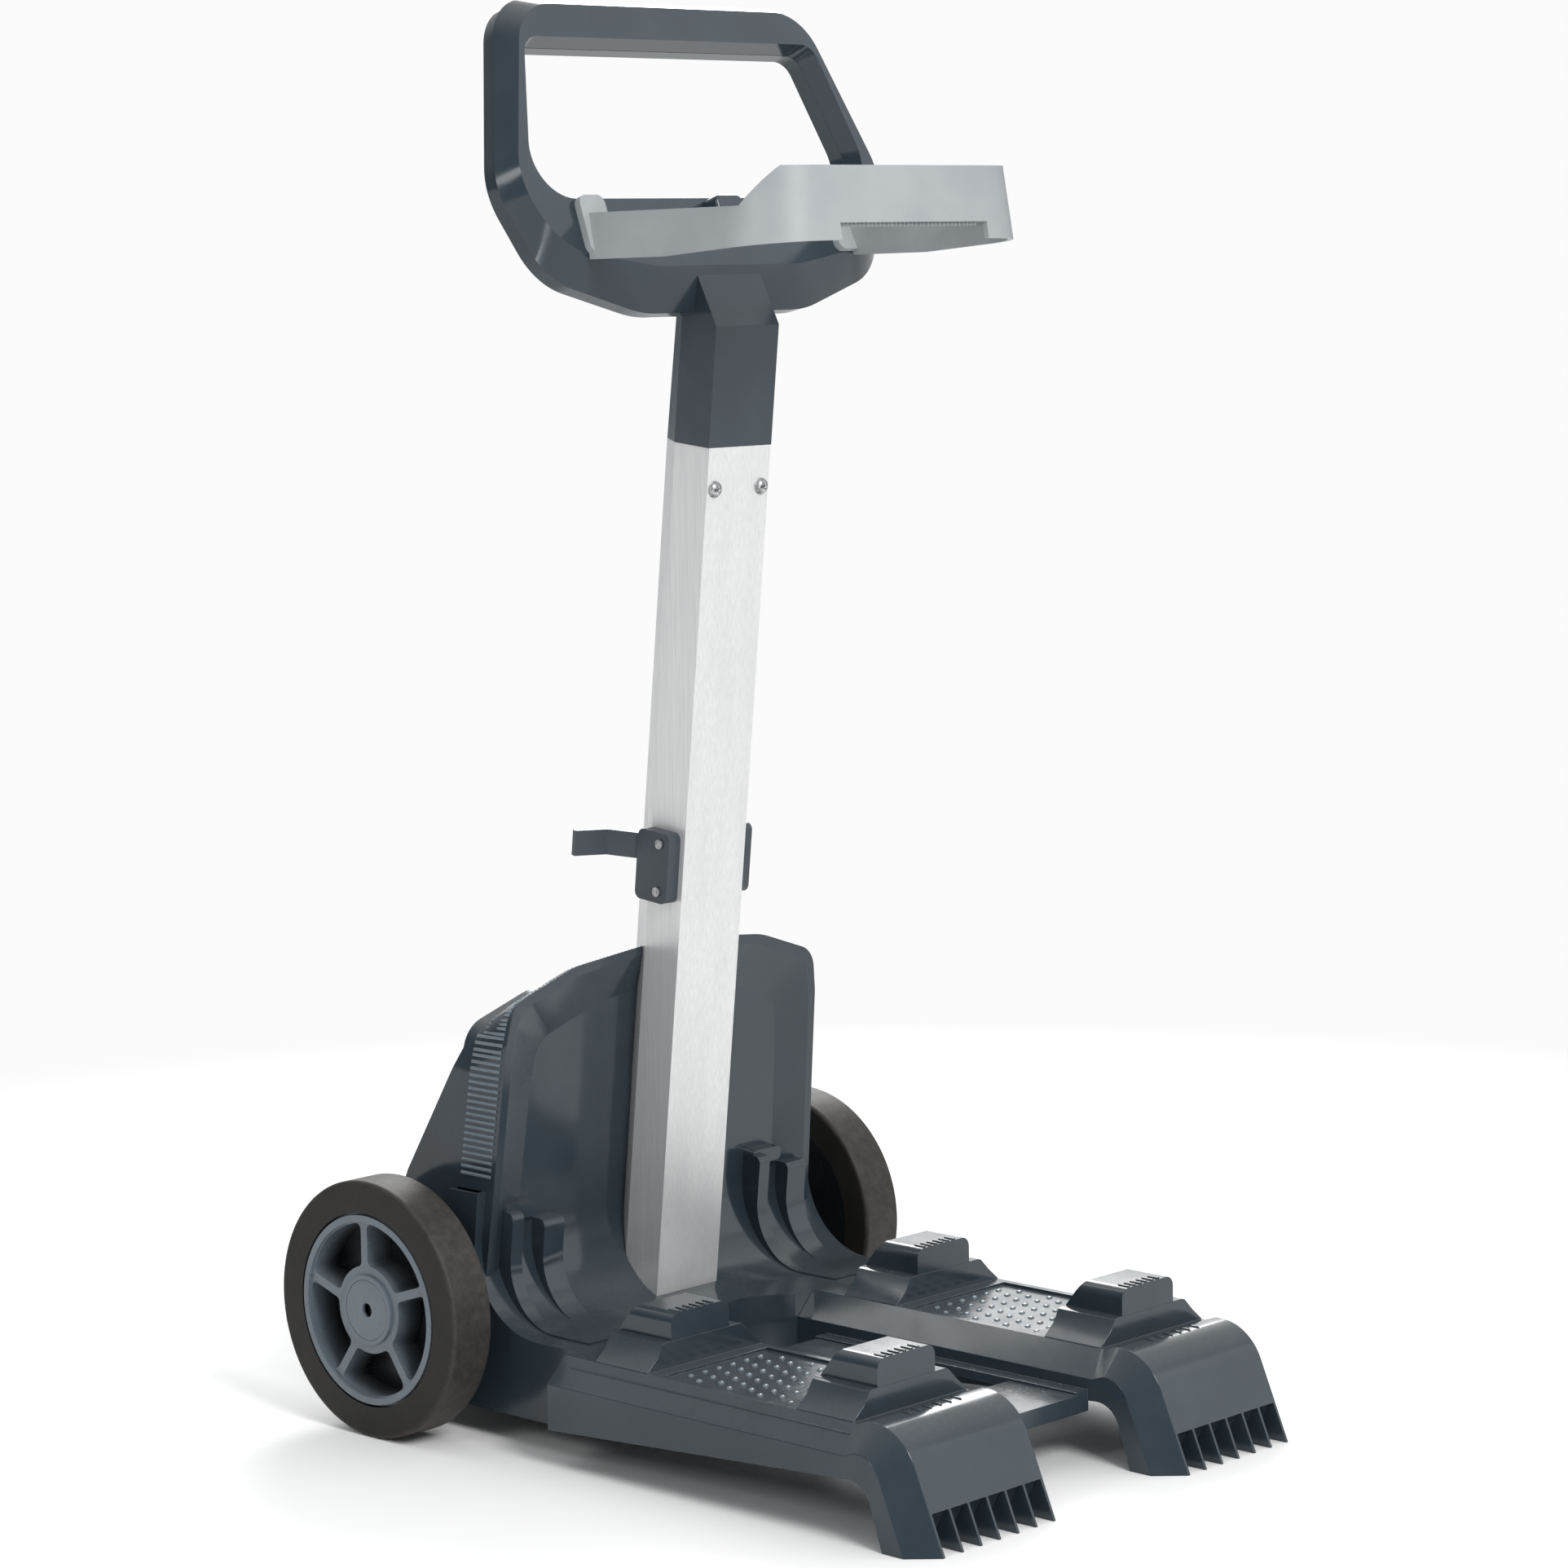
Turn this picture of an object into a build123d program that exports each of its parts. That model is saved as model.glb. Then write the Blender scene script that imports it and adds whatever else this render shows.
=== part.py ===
from build123d import *
import os
from math import cos, radians, sin, tan

# Two-wheeled caddy for a robotic pool cleaner: a moulded base with two forks, an arched
# housing between two wheels, a leaning aluminium mast, a loop handle and a holder for
# the cleaner's control box.  Millimetres, +Z up, ground at z = 0, the forks point to -Y,
# and the origin is on the ground, midway between fork tips and wheel backs.

os.makedirs("parts", exist_ok=True)

# ---------------------------------------------------------------- overall sizes
wheel_radius = 85.0
wheel_width = 33.0
wheel_track = 390.0            # between the middles of the two wheels
fork_reach = 460.5             # from the axle forward to the fork tips
deck_height = 70.0             # top of the deck and forks
mast_length = 568.0            # mast showing above the deck, measured along it
mast_lean = 6.3                # degrees, forward
neck_length = 78.5             # handle neck, from the mast's top to the elbow
handle_lean = 18.6             # degrees, backward

axle_y = (fork_reach - wheel_radius) / 2
axle_z = wheel_radius

# ---------------------------------------------------------------- clearances
fit_gap = 0.3                  # between fixed mouldings that fit in each other
running_gap = 0.06             # axle in its bush, on radius
wheel_gap = 1.0                # side play between hub and washer

# ---------------------------------------------------------------- mast section
mast_width = 57.0
mast_side = 31.0               # depth of the flat side face
mast_depth = 49.0
mast_back_width = 36.0
mast_wall = 2.2
mast_front = 83.6              # front face at the deck, forward of the axle
mast_foot_rise = 5.4           # mast's showing foot above the deck
mast_embed = 18.0              # mast hidden below its showing foot

# ---------------------------------------------------------------- base and housing
shell = 3.0
base_bottom = 18.0
wheel_clear = 20.5             # between the base's side and the wheel
base_half = wheel_track / 2 - wheel_width / 2 - wheel_clear
housing_top = 234.0            # crown of the arch, along the mast from its foot
housing_shoulder = base_half - 12.0    # half width where the arch starts to turn
arch_turn = (5.0, 27.0)        # where the side turns over: in from the shoulder, below the crown
arch_flat = (58.0, 9.0)        # where the flat crown starts, likewise
arch_side_drop = 56.0          # upright side ends this far below the crown
arch_radii = (60.0, 20.0, 60.0)
crown_radius = 300.0
rim_depth = 35.0               # housing rim behind the mast's front face
band_depth = 35.0              # ribbed band behind the rim
recess_depth = 7.0
sweep_radius = 56.0            # hollow curve from panel to deck
fork_root = 140.0              # forks start here, forward of the axle
rear_reach = 60.0              # housing back behind the axle
well_radius = 64.5

# ---------------------------------------------------------------- forks and feet
fork_centre = base_half - 42.0
fork_width = 135.0
fork_chamfer = 16.0
foot_rise = 3.0                # foot's crown above the deck
foot_depth = 34.5              # foot on the ground, front to back
foot_crown_radius = 35.0
fork_root_bottom = 24.0
fork_tip_bottom = 41.0
cell_count = 6
cell_height = 24.5
cell_rib = 2.0
plate_height = 45.0            # top of the plate between the forks
plate_thickness = 4.0

# ---------------------------------------------------------------- rests on the forks
rest_length = 47.0             # front to back
rest_front_reach = fork_reach - 70.5   # front rests' front face, forward of the axle
rest_rear_reach = fork_root + 75.0
rest_step = 17.0               # ramp's top above the deck
pad_rise = 17.5                # pad above the ramp
pad_half = 26.0
pad_shift = -4.0
rest_span = 51.5               # ramp's toe from the fork's middle

# ---------------------------------------------------------------- handle
loop_front_depth = 14.0
loop_rear_depth = 11.0
neck_width = mast_width + 1.0
grip_top = 130.0               # loop's crown above its reference line
grip_bottom = -80.0
loop_forward = 45.5            # reference line behind the elbow's front
loop_up = 84.6                 # and above it

# ---------------------------------------------------------------- control box holder
holder_half = 122.0
holder_reach = 301.0           # front wall, forward of the axle
holder_wall = 3.5
holder_corner = 48.0
holder_lip = 9.0

# ---------------------------------------------------------------- axle and wheels
axle_radius = 6.0
bush_radius = axle_radius + 3.5
rim_radius = wheel_radius - 21.0
cap_radius = 20.0
spoke_count = 5
spoke_width = 12.0


# ================================================================ shared geometry
lean = radians(mast_lean)
tilt = radians(handle_lean)
mast_foot = Vector(0, axle_y - mast_front, deck_height + mast_foot_rise)
mast_axis = Vector(0, -sin(lean), cos(lean))
mast_back = Vector(0, cos(lean), sin(lean))


def across(v):
    """Plane square to the mast, v above its foot; its local y points to the back."""
    return Plane(origin=mast_foot + mast_axis * v, x_dir=(1, 0, 0), z_dir=mast_axis)


def facing(depth):
    """Plane parallel to the mast's front face, this far behind it, looking forward."""
    return Plane(origin=mast_foot + mast_back * depth, x_dir=(1, 0, 0), z_dir=-mast_back)


def side_plane(x):
    """Vertical plane at x whose local axes are the object's Y and Z."""
    return Plane(origin=(x, 0, 0), x_dir=(0, 1, 0), z_dir=(1, 0, 0))


def ahead(distance):
    """Y of a point this far forward of the axle."""
    return axle_y - distance


def panel_y(depth, z):
    """Y at height z on the plane this far behind the mast's front face."""
    return mast_foot.Y + depth / cos(lean) - (z - mast_foot.Z) * tan(lean)


def save(name, solid):
    """Label a finished piece and write it."""
    solid.label = name
    export_step(solid, f"parts/{name}.step")


def save_drilled(name, solid, *fixings):
    """Cut the fixings' holes in a piece, then write it."""
    with BuildPart() as drilled:
        add(solid)
        for fixing in fixings:
            add(fixing, mode=Mode.SUBTRACT)
    save(name, drilled.part)


def mast_outline(grow):
    """The mast's six-sided section, grown by this much all round."""
    with BuildSketch() as sketch:
        with BuildLine():
            Polyline((-mast_width / 2, 0), (mast_width / 2, 0), (mast_width / 2, mast_side),
                     (mast_back_width / 2, mast_depth), (-mast_back_width / 2, mast_depth),
                     (-mast_width / 2, mast_side), close=True)
        make_face()
        if grow:
            offset(amount=grow, kind=Kind.INTERSECTION)
    return sketch.sketch


def arch_outline(inset, foot, drop=0.0):
    """The housing's arched outline, set in all round, from foot up to a crown lowered by drop."""
    half = base_half - inset
    shoulder = housing_shoulder - inset
    crown = housing_top - inset - drop
    right = [(half, foot), (shoulder, crown - arch_side_drop)]
    right += [(shoulder - across_in, crown - down) for across_in, down in (arch_turn, arch_flat)]
    left = [(-x, v) for x, v in reversed(right)]
    top_radius = min(crown_radius, 0.81 * (shoulder - arch_flat[0]) ** 2 / arch_flat[1])
    radii = [*arch_radii, top_radius, *reversed(arch_radii)]
    with BuildSketch() as sketch:
        with BuildLine():
            FilletPolyline(*right, (0, crown), *left, radius=radii)
            Line(left[-1], right[0])
        make_face()
    return sketch.sketch


# ================================================================ base front: panel and rear deck
def deck_profile(depth, radius, top, front, drop):
    """Side view of the deck and its hollow sweep up to the panel, lowered by drop."""
    level = deck_height - drop
    with BuildSketch() as sketch:
        with BuildLine():
            FilletPolyline((ahead(front), level), (panel_y(depth, level), level),
                           (panel_y(depth, top), top), radius=radius)
            Polyline((panel_y(depth, top), top), (panel_y(rim_depth + band_depth, top), top),
                     (panel_y(rim_depth + band_depth, base_bottom), base_bottom),
                     (ahead(front), base_bottom), (ahead(front), level))
        make_face()
    return sketch.sketch


panel_depth = rim_depth + recess_depth
band_back = rim_depth + band_depth
sweep_top = deck_height + 90.0
skirt = -90.0                  # arches run down past the base and are trimmed there
slab = 2 * base_half
guide_height = deck_height + 76.0
fin_drop = 9.0
guide_proud = 16.0
guide_cap = 5.0                # rounded bridge over each guide's slot
arch_slope = 0.7               # fall of the arch per millimetre of depth


def arch_drop(depth):
    """How far the crown has come down at this depth behind the mast's front."""
    return arch_slope * max(0.0, depth - rim_depth)


def arch_block(solid_depth, near, inset, floor):
    """Arched block behind the panel's rim, its crown falling to the back, trimmed flat at floor."""
    with BuildPart() as block:
        with BuildSketch(facing(near)):
            add(arch_outline(inset, skirt, arch_drop(near)))
        with BuildSketch(facing(near + solid_depth)):
            add(arch_outline(inset, skirt, arch_drop(near + solid_depth)))
        loft(ruled=True)
        with Locations((0, 0, floor - 200)):
            Box(900, 900, 400, mode=Mode.SUBTRACT)
    return block.part


def deck_block(profile, half):
    """A side profile extruded to this half width."""
    with BuildPart() as block:
        with BuildSketch(side_plane(-half)):
            add(profile)
        extrude(amount=2 * half)
    return block.part


def guide_wall(start, width, proud, height):
    """Curved guide wall on the panel, from its top down on to the deck."""
    toe = fork_root - 6
    with BuildPart() as wall:
        with BuildSketch(side_plane(start)):
            with BuildLine():
                FilletPolyline((ahead(toe), deck_height + 1),
                               (panel_y(panel_depth - proud, deck_height), deck_height + 1),
                               (panel_y(panel_depth - proud, height), height), radius=sweep_radius - proud)
                Polyline((panel_y(panel_depth - proud, height), height),
                         (panel_y(panel_depth + 1, height), height),
                         (panel_y(panel_depth + 1, deck_height - 2), deck_height - 2),
                         (ahead(toe), deck_height - 2), (ahead(toe), deck_height + 1))
            make_face()
        extrude(amount=width)
        fillet(wall.edges().filter_by(Axis.X).sort_by(Axis.Z)[-2:].sort_by(Axis.Y)[:1], min(5, 0.6 * proud))
    return wall.part


with BuildPart() as base_front:
    add(arch_block(band_depth, rim_depth, 0, base_bottom))
    with BuildSketch(facing(rim_depth)):
        add(arch_outline(6, skirt))
    with BuildSketch(facing(panel_depth)):
        add(arch_outline(30, skirt))
    loft(mode=Mode.SUBTRACT, ruled=True)
    add(deck_block(deck_profile(panel_depth, sweep_radius, sweep_top, fork_root, 0), base_half))
    add(arch_block(band_depth, panel_depth + shell, shell, base_bottom - 1), mode=Mode.SUBTRACT)
    inner_deck = deck_profile(panel_depth + shell, sweep_radius + shell, sweep_top, fork_root - shell, shell)
    add(deck_block(inner_deck, base_half - shell), mode=Mode.SUBTRACT)
    with Locations((0, 0, base_bottom - 10)):
        Box(2 * (base_half - shell), 900, 20, mode=Mode.SUBTRACT)
    for side in (-1, 1):
        centre = side * fork_centre
        add(guide_wall(centre - 24, 10, guide_proud, guide_height))
        add(guide_wall(centre + 5, 18, guide_proud, guide_height - fin_drop))
        add(guide_wall(centre - 15, 21, 4, guide_height - 2))
        with BuildSketch(facing(panel_depth + 1)):
            with Locations((centre - 10, guide_height - mast_foot.Z - guide_cap)):
                RectangleRounded(28, 2 * guide_cap, guide_cap - 1)
        extrude(amount=10)
    with Locations((0, ahead(fork_root + 45), (base_bottom + deck_height) / 2)):
        Cylinder(well_radius + shell, deck_height - base_bottom)
        Cylinder(well_radius, deck_height, mode=Mode.SUBTRACT)
    with Locations((0, ahead(fork_root) - 200, 0)):
        Box(900, 400, 400, mode=Mode.SUBTRACT)
    with BuildSketch(across(-mast_embed)):
        add(mast_outline(fit_gap))
    extrude(amount=housing_top + 80, mode=Mode.SUBTRACT)

# ================================================================ base rear: the cover behind the band
cover_depth = 8.0              # cover's flat top part behind the band
cover_knee = 252.0             # height where the cover starts to slope out
boss_radius = axle_radius + 7.0    # tube across the base that carries the axle
spacer_length = 7.5
boss_half = wheel_track / 2 - wheel_width / 2 - wheel_gap - spacer_length


def rear_block(inset):
    """The wedge behind the ribbed band, inside the arch's outline."""
    flat = band_back + cover_depth - inset
    with BuildPart() as block:
        with BuildSketch(side_plane(-slab)):
            with BuildLine():
                Polyline((panel_y(band_back, base_bottom - 1), base_bottom - 1),
                         (axle_y + rear_reach - inset, base_bottom - 1),
                         (axle_y + rear_reach - 3 - inset, 90),
                         (axle_y + 26 - inset, 165), (panel_y(flat, cover_knee), cover_knee),
                         (panel_y(flat, 340), 340), (panel_y(band_back, 340), 340), close=True)
            make_face()
        extrude(amount=2 * slab)
        with BuildSketch(facing(band_back - 1)):
            add(arch_outline(inset, skirt, arch_drop(band_back)))
        extrude(amount=-250, mode=Mode.INTERSECT)
        with Locations((0, 0, base_bottom - 200)):
            Box(900, 900, 400, mode=Mode.SUBTRACT)
    return block.part


with BuildPart() as base_rear:
    add(rear_block(0))
    add(rear_block(shell), mode=Mode.SUBTRACT)
    with Locations((0, axle_y, axle_z)):
        Cylinder(boss_radius, 2 * boss_half, rotation=(0, 90, 0))
        Cylinder(axle_radius, 2 * boss_half + 2, rotation=(0, 90, 0), mode=Mode.SUBTRACT)

# ================================================================ forks with feet, joined by a plate
plate_front = rest_front_reach + 2.0   # plate's front edge, forward of the axle
plate_rear = fork_root + 26.0
plate_opening = (rest_rear_reach + 35.0, rest_front_reach - 55.0)
dimple_deck = (rest_rear_reach + 10.0, rest_front_reach - 60.0)    # sunk field between the rests
dimple_half = 46.0
dimple_sink = 2.0
gap_half = fork_centre - fork_width / 2
slope_radius = 18.0


def fork_profile():
    """Side view of a fork: flat top, rounded foot, underside rising to the foot."""
    crown = deck_height + foot_rise
    with BuildSketch() as sketch:
        with BuildLine():
            Polyline((ahead(fork_root), fork_root_bottom), (ahead(fork_root), deck_height),
                     (ahead(rest_front_reach + 3), deck_height), (ahead(rest_front_reach + 12), crown))
            FilletPolyline((ahead(rest_front_reach + 12), crown), (ahead(fork_reach - 31.2), crown),
                           (ahead(fork_reach), 0), radius=foot_crown_radius)
            Line((ahead(fork_reach), 0), (ahead(fork_reach - foot_depth), 0))
            FilletPolyline((ahead(fork_reach - foot_depth), 0),
                           (ahead(fork_reach - foot_depth - 13.7), fork_tip_bottom),
                           (ahead(fork_root), fork_root_bottom), radius=slope_radius)
        make_face()
    return sketch.sketch


def fork_hollow():
    """Section of the space under a fork, square to its length."""
    half = fork_width / 2 - shell
    top = deck_height - shell - dimple_sink
    cut = fork_chamfer - 0.6 * shell - dimple_sink
    with BuildSketch() as sketch:
        with BuildLine():
            Polyline((-half, -5), (-half, top - cut), (-half + cut, top),
                     (half - cut, top), (half, top - cut), (half, -5), close=True)
        make_face()
    return sketch.sketch


def rest_outline():
    """A rest's two ramps and the step between them, as X and height above the deck."""
    toe = rest_span
    with BuildSketch() as sketch:
        with BuildLine():
            Polyline((-toe, -1), (-toe, 0.5), (-toe + 9, 8), (-toe + 14, rest_step - 1),
                     (-toe + 17, rest_step), (toe - 20, rest_step), (toe - 17, rest_step - 1),
                     (toe - 9, 8), (toe, 0.5), (toe, -1), close=True)
        make_face()
    return sketch.sketch


def facing_forward(x, reach, z):
    """Vertical plane looking forward, this far forward of the axle, its local y straight up."""
    return Plane(origin=(x, ahead(reach), z), x_dir=(1, 0, 0), z_dir=(0, -1, 0))


def is_upper(edge, centre):
    """Whether a fork's edge is one of its two long top edges or runs down beside the foot."""
    at = edge.center()
    on_side = abs(abs(at.X - centre) - fork_width / 2) < 0.1
    down_front = at.Y < ahead(fork_reach - foot_depth / 2) and at.Z > 1
    return on_side and (at.Z > deck_height - 10 or down_front)


def fork_solid(centre):
    """One fork with its ramps, hollow below, open cells in the foot's front."""
    with BuildPart() as fork:
        with BuildSketch(side_plane(centre - fork_width / 2)):
            add(fork_profile())
        extrude(amount=fork_width)
        chamfer([e for e in fork.edges() if is_upper(e, centre)], fork_chamfer)
        for reach in (rest_front_reach, rest_rear_reach):
            with BuildSketch(facing_forward(centre, reach, deck_height)):
                add(rest_outline())
            extrude(amount=-rest_length)
        field = dimple_deck[1] - dimple_deck[0]
        with Locations((centre, ahead(sum(dimple_deck) / 2), deck_height)):
            Box(2 * dimple_half, field, 2 * dimple_sink, mode=Mode.SUBTRACT)
        with BuildSketch(facing_forward(centre, fork_root + shell, 0)):
            add(fork_hollow())
        extrude(amount=rest_front_reach + 8 - fork_root - shell, mode=Mode.SUBTRACT)
        pitch = (fork_width - 2 * fork_chamfer - cell_rib) / cell_count
        for cell in range(cell_count):
            start = centre - fork_width / 2 + fork_chamfer + cell_rib + cell * pitch
            with BuildSketch(side_plane(start)):
                with BuildLine():
                    Polyline((ahead(fork_reach + 2), -2), (ahead(fork_reach + 2), cell_height),
                             (ahead(fork_reach - 14), cell_height), (ahead(fork_reach - foot_depth + 6), -2),
                             close=True)
                make_face()
            extrude(amount=pitch - cell_rib, mode=Mode.SUBTRACT)
    return fork.part


with BuildPart() as fork_frame:
    for side in (-1, 1):
        add(fork_solid(side * fork_centre))
    for near, far in ((plate_rear, plate_opening[0]), (plate_opening[1], plate_front)):
        with Locations((0, (ahead(near) + ahead(far)) / 2, plate_height - plate_thickness / 2)):
            Box(2 * gap_half + 2, far - near, plate_thickness)
    with Locations((0, ahead(plate_front - 2), plate_height - 6)):
        Box(2 * gap_half + 2, 4, 12)
    for side in (-1, 1):
        with Locations((side * (gap_half - 5), ahead((plate_rear + plate_front) / 2), plate_height - 1)):
            Box(12, plate_front - plate_rear, 6)

# ================================================================ rest pads, one on each rest
pad_back_slope = 14.0
pad_corner = 7.0
grip_count = 6


def rest_pad(centre, reach):
    """Ridged pad across a fork, seated on its ramp's flat top."""
    base = deck_height + rest_step
    with BuildPart() as pad:
        with BuildSketch(side_plane(centre - pad_half)):
            with BuildLine():
                Polyline((ahead(reach), base), (ahead(reach), base + pad_rise),
                         (ahead(reach - rest_length + pad_back_slope), base + pad_rise),
                         (ahead(reach - rest_length), base), close=True)
            make_face()
        extrude(amount=2 * pad_half)
        top = pad.faces().sort_by(Axis.Z)[-1]
        fillet([e for e in top.edges() if abs(e.center().X - centre) > pad_half - 1], pad_corner)
        for rib in range(grip_count):
            with Locations((centre - 18 + 6 * rib, ahead(reach - 5), base + pad_rise)):
                Box(2.4, 8, 1.6)
    return pad.part


for side, hand in ((-1, "left"), (1, "right")):
    for reach, where in ((rest_front_reach, "front"), (rest_rear_reach, "rear")):
        save(f"rest_pad_{where}_{hand}", rest_pad(side * fork_centre + pad_shift, reach))

# ================================================================ mast and its bracket on the panel
handle_screw_drop = 27.0       # screws below the handle's neck
handle_screw_x = mast_width / 2 - 7.0
screw_hole = 2.0               # radius of every screw shank and its hole
bracket_half = 40.0
bracket_depth = 15.0
bracket_low = 62.0             # along the mast from its foot
bracket_high = 200.0
bracket_screw_v = (82.0, 180.0)
bracket_screw_x = 32.0

with BuildPart() as mast_tube:
    with BuildSketch(across(-mast_embed)):
        add(mast_outline(0))
        add(mast_outline(-mast_wall), mode=Mode.SUBTRACT)
    extrude(amount=mast_embed + mast_length)
    with BuildSketch(facing(-1)):
        with Locations((-handle_screw_x, mast_length - handle_screw_drop),
                       (handle_screw_x, mast_length - handle_screw_drop)):
            Circle(screw_hole)
    extrude(amount=-mast_wall - 2, mode=Mode.SUBTRACT)
    with BuildSketch(facing(mast_depth + 1)):
        with Locations(*[(0, v) for v in bracket_screw_v]):
            Circle(screw_hole)
    extrude(amount=mast_wall + 2, mode=Mode.SUBTRACT)

save("mast_tube", mast_tube.part)


def mast_half_at(depth):
    """Half width of the mast's section this far behind its front, between side and back."""
    taper = (mast_width - mast_back_width) / 2 / (mast_depth - mast_side)
    return mast_width / 2 - (depth - mast_side) * taper


with BuildPart() as mast_bracket:
    near = panel_depth + shell
    far = near + bracket_depth
    seat = mast_half_at(near) + 2 * fit_gap
    with BuildSketch(across(bracket_low)):
        with BuildLine():
            Polyline((-bracket_half, near), (-seat, near), (-mast_back_width / 2 - fit_gap, mast_depth),
                     (mast_back_width / 2 + fit_gap, mast_depth), (seat, near), (bracket_half, near),
                     (bracket_half, far), (-bracket_half, far), close=True)
        make_face()
    extrude(amount=bracket_high - bracket_low)
    with BuildSketch(facing(near + bracket_depth + 1)):
        for v in bracket_screw_v:
            with Locations((-bracket_screw_x, v), (0, v), (bracket_screw_x, v)):
                Circle(screw_hole)
    extrude(amount=bracket_depth + 10, mode=Mode.SUBTRACT)

save("mast_bracket", mast_bracket.part)


def screw_solid(plane, points, head_radius, head_height, shank):
    """Round-headed screws on a plane: heads on its positive side, shanks behind it."""
    with BuildPart() as screws:
        with BuildSketch(plane):
            with Locations(*points):
                Circle(head_radius)
        extrude(amount=head_height)
        with BuildSketch(plane):
            with Locations(*points):
                Circle(screw_hole)
        extrude(amount=-shank)
    return screws.part


def facing_back(depth):
    """Plane parallel to the mast's front face, this far behind it, looking backward."""
    return Plane(origin=mast_foot + mast_back * depth, x_dir=(-1, 0, 0), z_dir=mast_back)


bracket_points = [(x, v) for v in bracket_screw_v for x in (-bracket_screw_x, 0, bracket_screw_x)]
save("mast_bracket_screws", screw_solid(facing_back(panel_depth + shell + bracket_depth), bracket_points,
                                        4.5, 2.5, bracket_depth))

# ================================================================ handle: loop and neck in two shells
elbow = mast_foot + mast_axis * (mast_length + neck_length)
loop_origin = elbow + Vector(0, loop_forward, loop_up)
spigot_plug = 60.0             # spigot inside the mast
spigot_rise = 40.0             # spigot inside the handle's neck


def loop_plane(forward):
    """Plane of the loop's joint between its shells, moved forward by this much."""
    normal = Vector(0, -cos(tilt), sin(tilt))
    return Plane(origin=loop_origin + normal * forward, x_dir=(1, 0, 0), z_dir=normal)


def loop_outer(side_in, top_in, bottom_in):
    """The loop's outer outline, drawn in at the sides, top and bottom."""
    right = [(136.5 - side_in, grip_top - top_in), (176 - side_in, 4), (152 - side_in, -56 + 0.6 * bottom_in),
             (75 - side_in, grip_bottom + bottom_in)]
    left = [(-x, v) for x, v in reversed(right)]
    with BuildSketch() as sketch:
        with BuildLine():
            FilletPolyline(*right, *left, radius=[36, 50, 46, 80, 80, 46, 50, 36], close=True)
        make_face()
    return sketch.sketch


def loop_inner(grow):
    """The hand opening's outline."""
    right = [(129 + grow, 97 + grow), (158 + grow, -5 - grow)]
    left = [(-x, v) for x, v in reversed(right)]
    with BuildSketch() as sketch:
        with BuildLine():
            FilletPolyline(*right, *left, radius=[14, 30, 30, 14], close=True)
        make_face()
    return sketch.sketch


def neck_side(points):
    """Side view of part of the neck, from points given as Y and Z vectors."""
    with BuildSketch() as sketch:
        with BuildLine():
            Polyline(*[(p.Y, p.Z) for p in points], close=True)
        make_face()
    return sketch.sketch


neck_foot = mast_foot + mast_axis * mast_length
seam_low = neck_foot + mast_back * mast_side
seam_high = elbow + mast_back * mast_side
back_low = neck_foot + mast_back * mast_depth
back_high = elbow + mast_back * (mast_depth - 4)
crest = elbow + Vector(0, 19, 38)
joint_low = elbow + Vector(0, 33, 22)
back_crest = elbow + Vector(0, 56, 26)


def spigot_outline():
    """The plug that joins mast and handle neck."""
    return mast_outline(-mast_wall - running_gap)


def spigot_block():
    """Solid of the spigot from inside the mast up into the neck."""
    with BuildPart() as block:
        with BuildSketch(across(mast_length - spigot_plug)):
            add(spigot_outline())
        extrude(amount=spigot_plug + spigot_rise)
    return block.part


with BuildPart() as handle_front:
    with BuildSketch(loop_plane(0)):
        add(loop_outer(0, 0, 0))
    with BuildSketch(loop_plane(loop_front_depth)):
        add(loop_outer(8, 8, 27))
    loft(ruled=True)
    with BuildSketch(loop_plane(-1)):
        add(loop_inner(0))
    with BuildSketch(loop_plane(loop_front_depth + 1)):
        add(loop_inner(3))
    loft(ruled=True, mode=Mode.SUBTRACT)
    with BuildSketch(side_plane(-neck_width / 2)):
        add(neck_side([neck_foot, elbow, crest, joint_low, seam_high, seam_low]))
    extrude(amount=neck_width)
    add(spigot_block(), mode=Mode.SUBTRACT)

with BuildPart() as handle_rear:
    with BuildSketch(loop_plane(-loop_rear_depth)):
        add(loop_outer(1, 1, 1))
    extrude(amount=loop_rear_depth)
    with BuildSketch(loop_plane(-loop_rear_depth - 1)):
        add(loop_inner(0))
    extrude(amount=loop_rear_depth + 2, mode=Mode.SUBTRACT)
    with BuildSketch(side_plane(-neck_width / 2 + 0.5)):
        add(neck_side([seam_low, seam_high, joint_low, back_crest, back_high, back_low]))
    extrude(amount=neck_width - 1)
    with BuildSketch(across(mast_length - 1)):
        for side in (-1, 1):
            with BuildLine():
                Polyline((side * neck_width / 2, mast_side), (side * mast_back_width / 2, mast_depth),
                         (side * mast_back_width / 2, mast_depth + 12), (side * neck_width, mast_depth + 12),
                         (side * neck_width, mast_side), close=True)
            make_face()
    extrude(amount=neck_length + 6, mode=Mode.SUBTRACT)
    add(handle_front.part, mode=Mode.SUBTRACT)
    add(spigot_block(), mode=Mode.SUBTRACT)

save("handle_spigot", spigot_block())

# ================================================================ handle catch and screws
catch_width = 24.0
catch_reach = 14.0

with BuildPart() as box_catch:
    with BuildSketch(loop_plane(loop_front_depth)):
        with Locations((0, -18)):
            RectangleRounded(catch_width, 16, 4)
    extrude(amount=catch_reach)
    fillet(box_catch.faces().sort_by(Axis.Y)[0].edges(), 2)

save("box_catch", box_catch.part)

mast_screw_points = [(-handle_screw_x, mast_length - handle_screw_drop),
                     (handle_screw_x, mast_length - handle_screw_drop)]
save("handle_mast_screws", screw_solid(facing(0), mast_screw_points, 5.5, 4.0, mast_wall))

# screws that hold the two handle shells together, seen from behind
shell_screw_points = [(-70, 116), (70, 116), (-150, 40), (150, 40), (-125, -38), (125, -38)]


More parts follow.
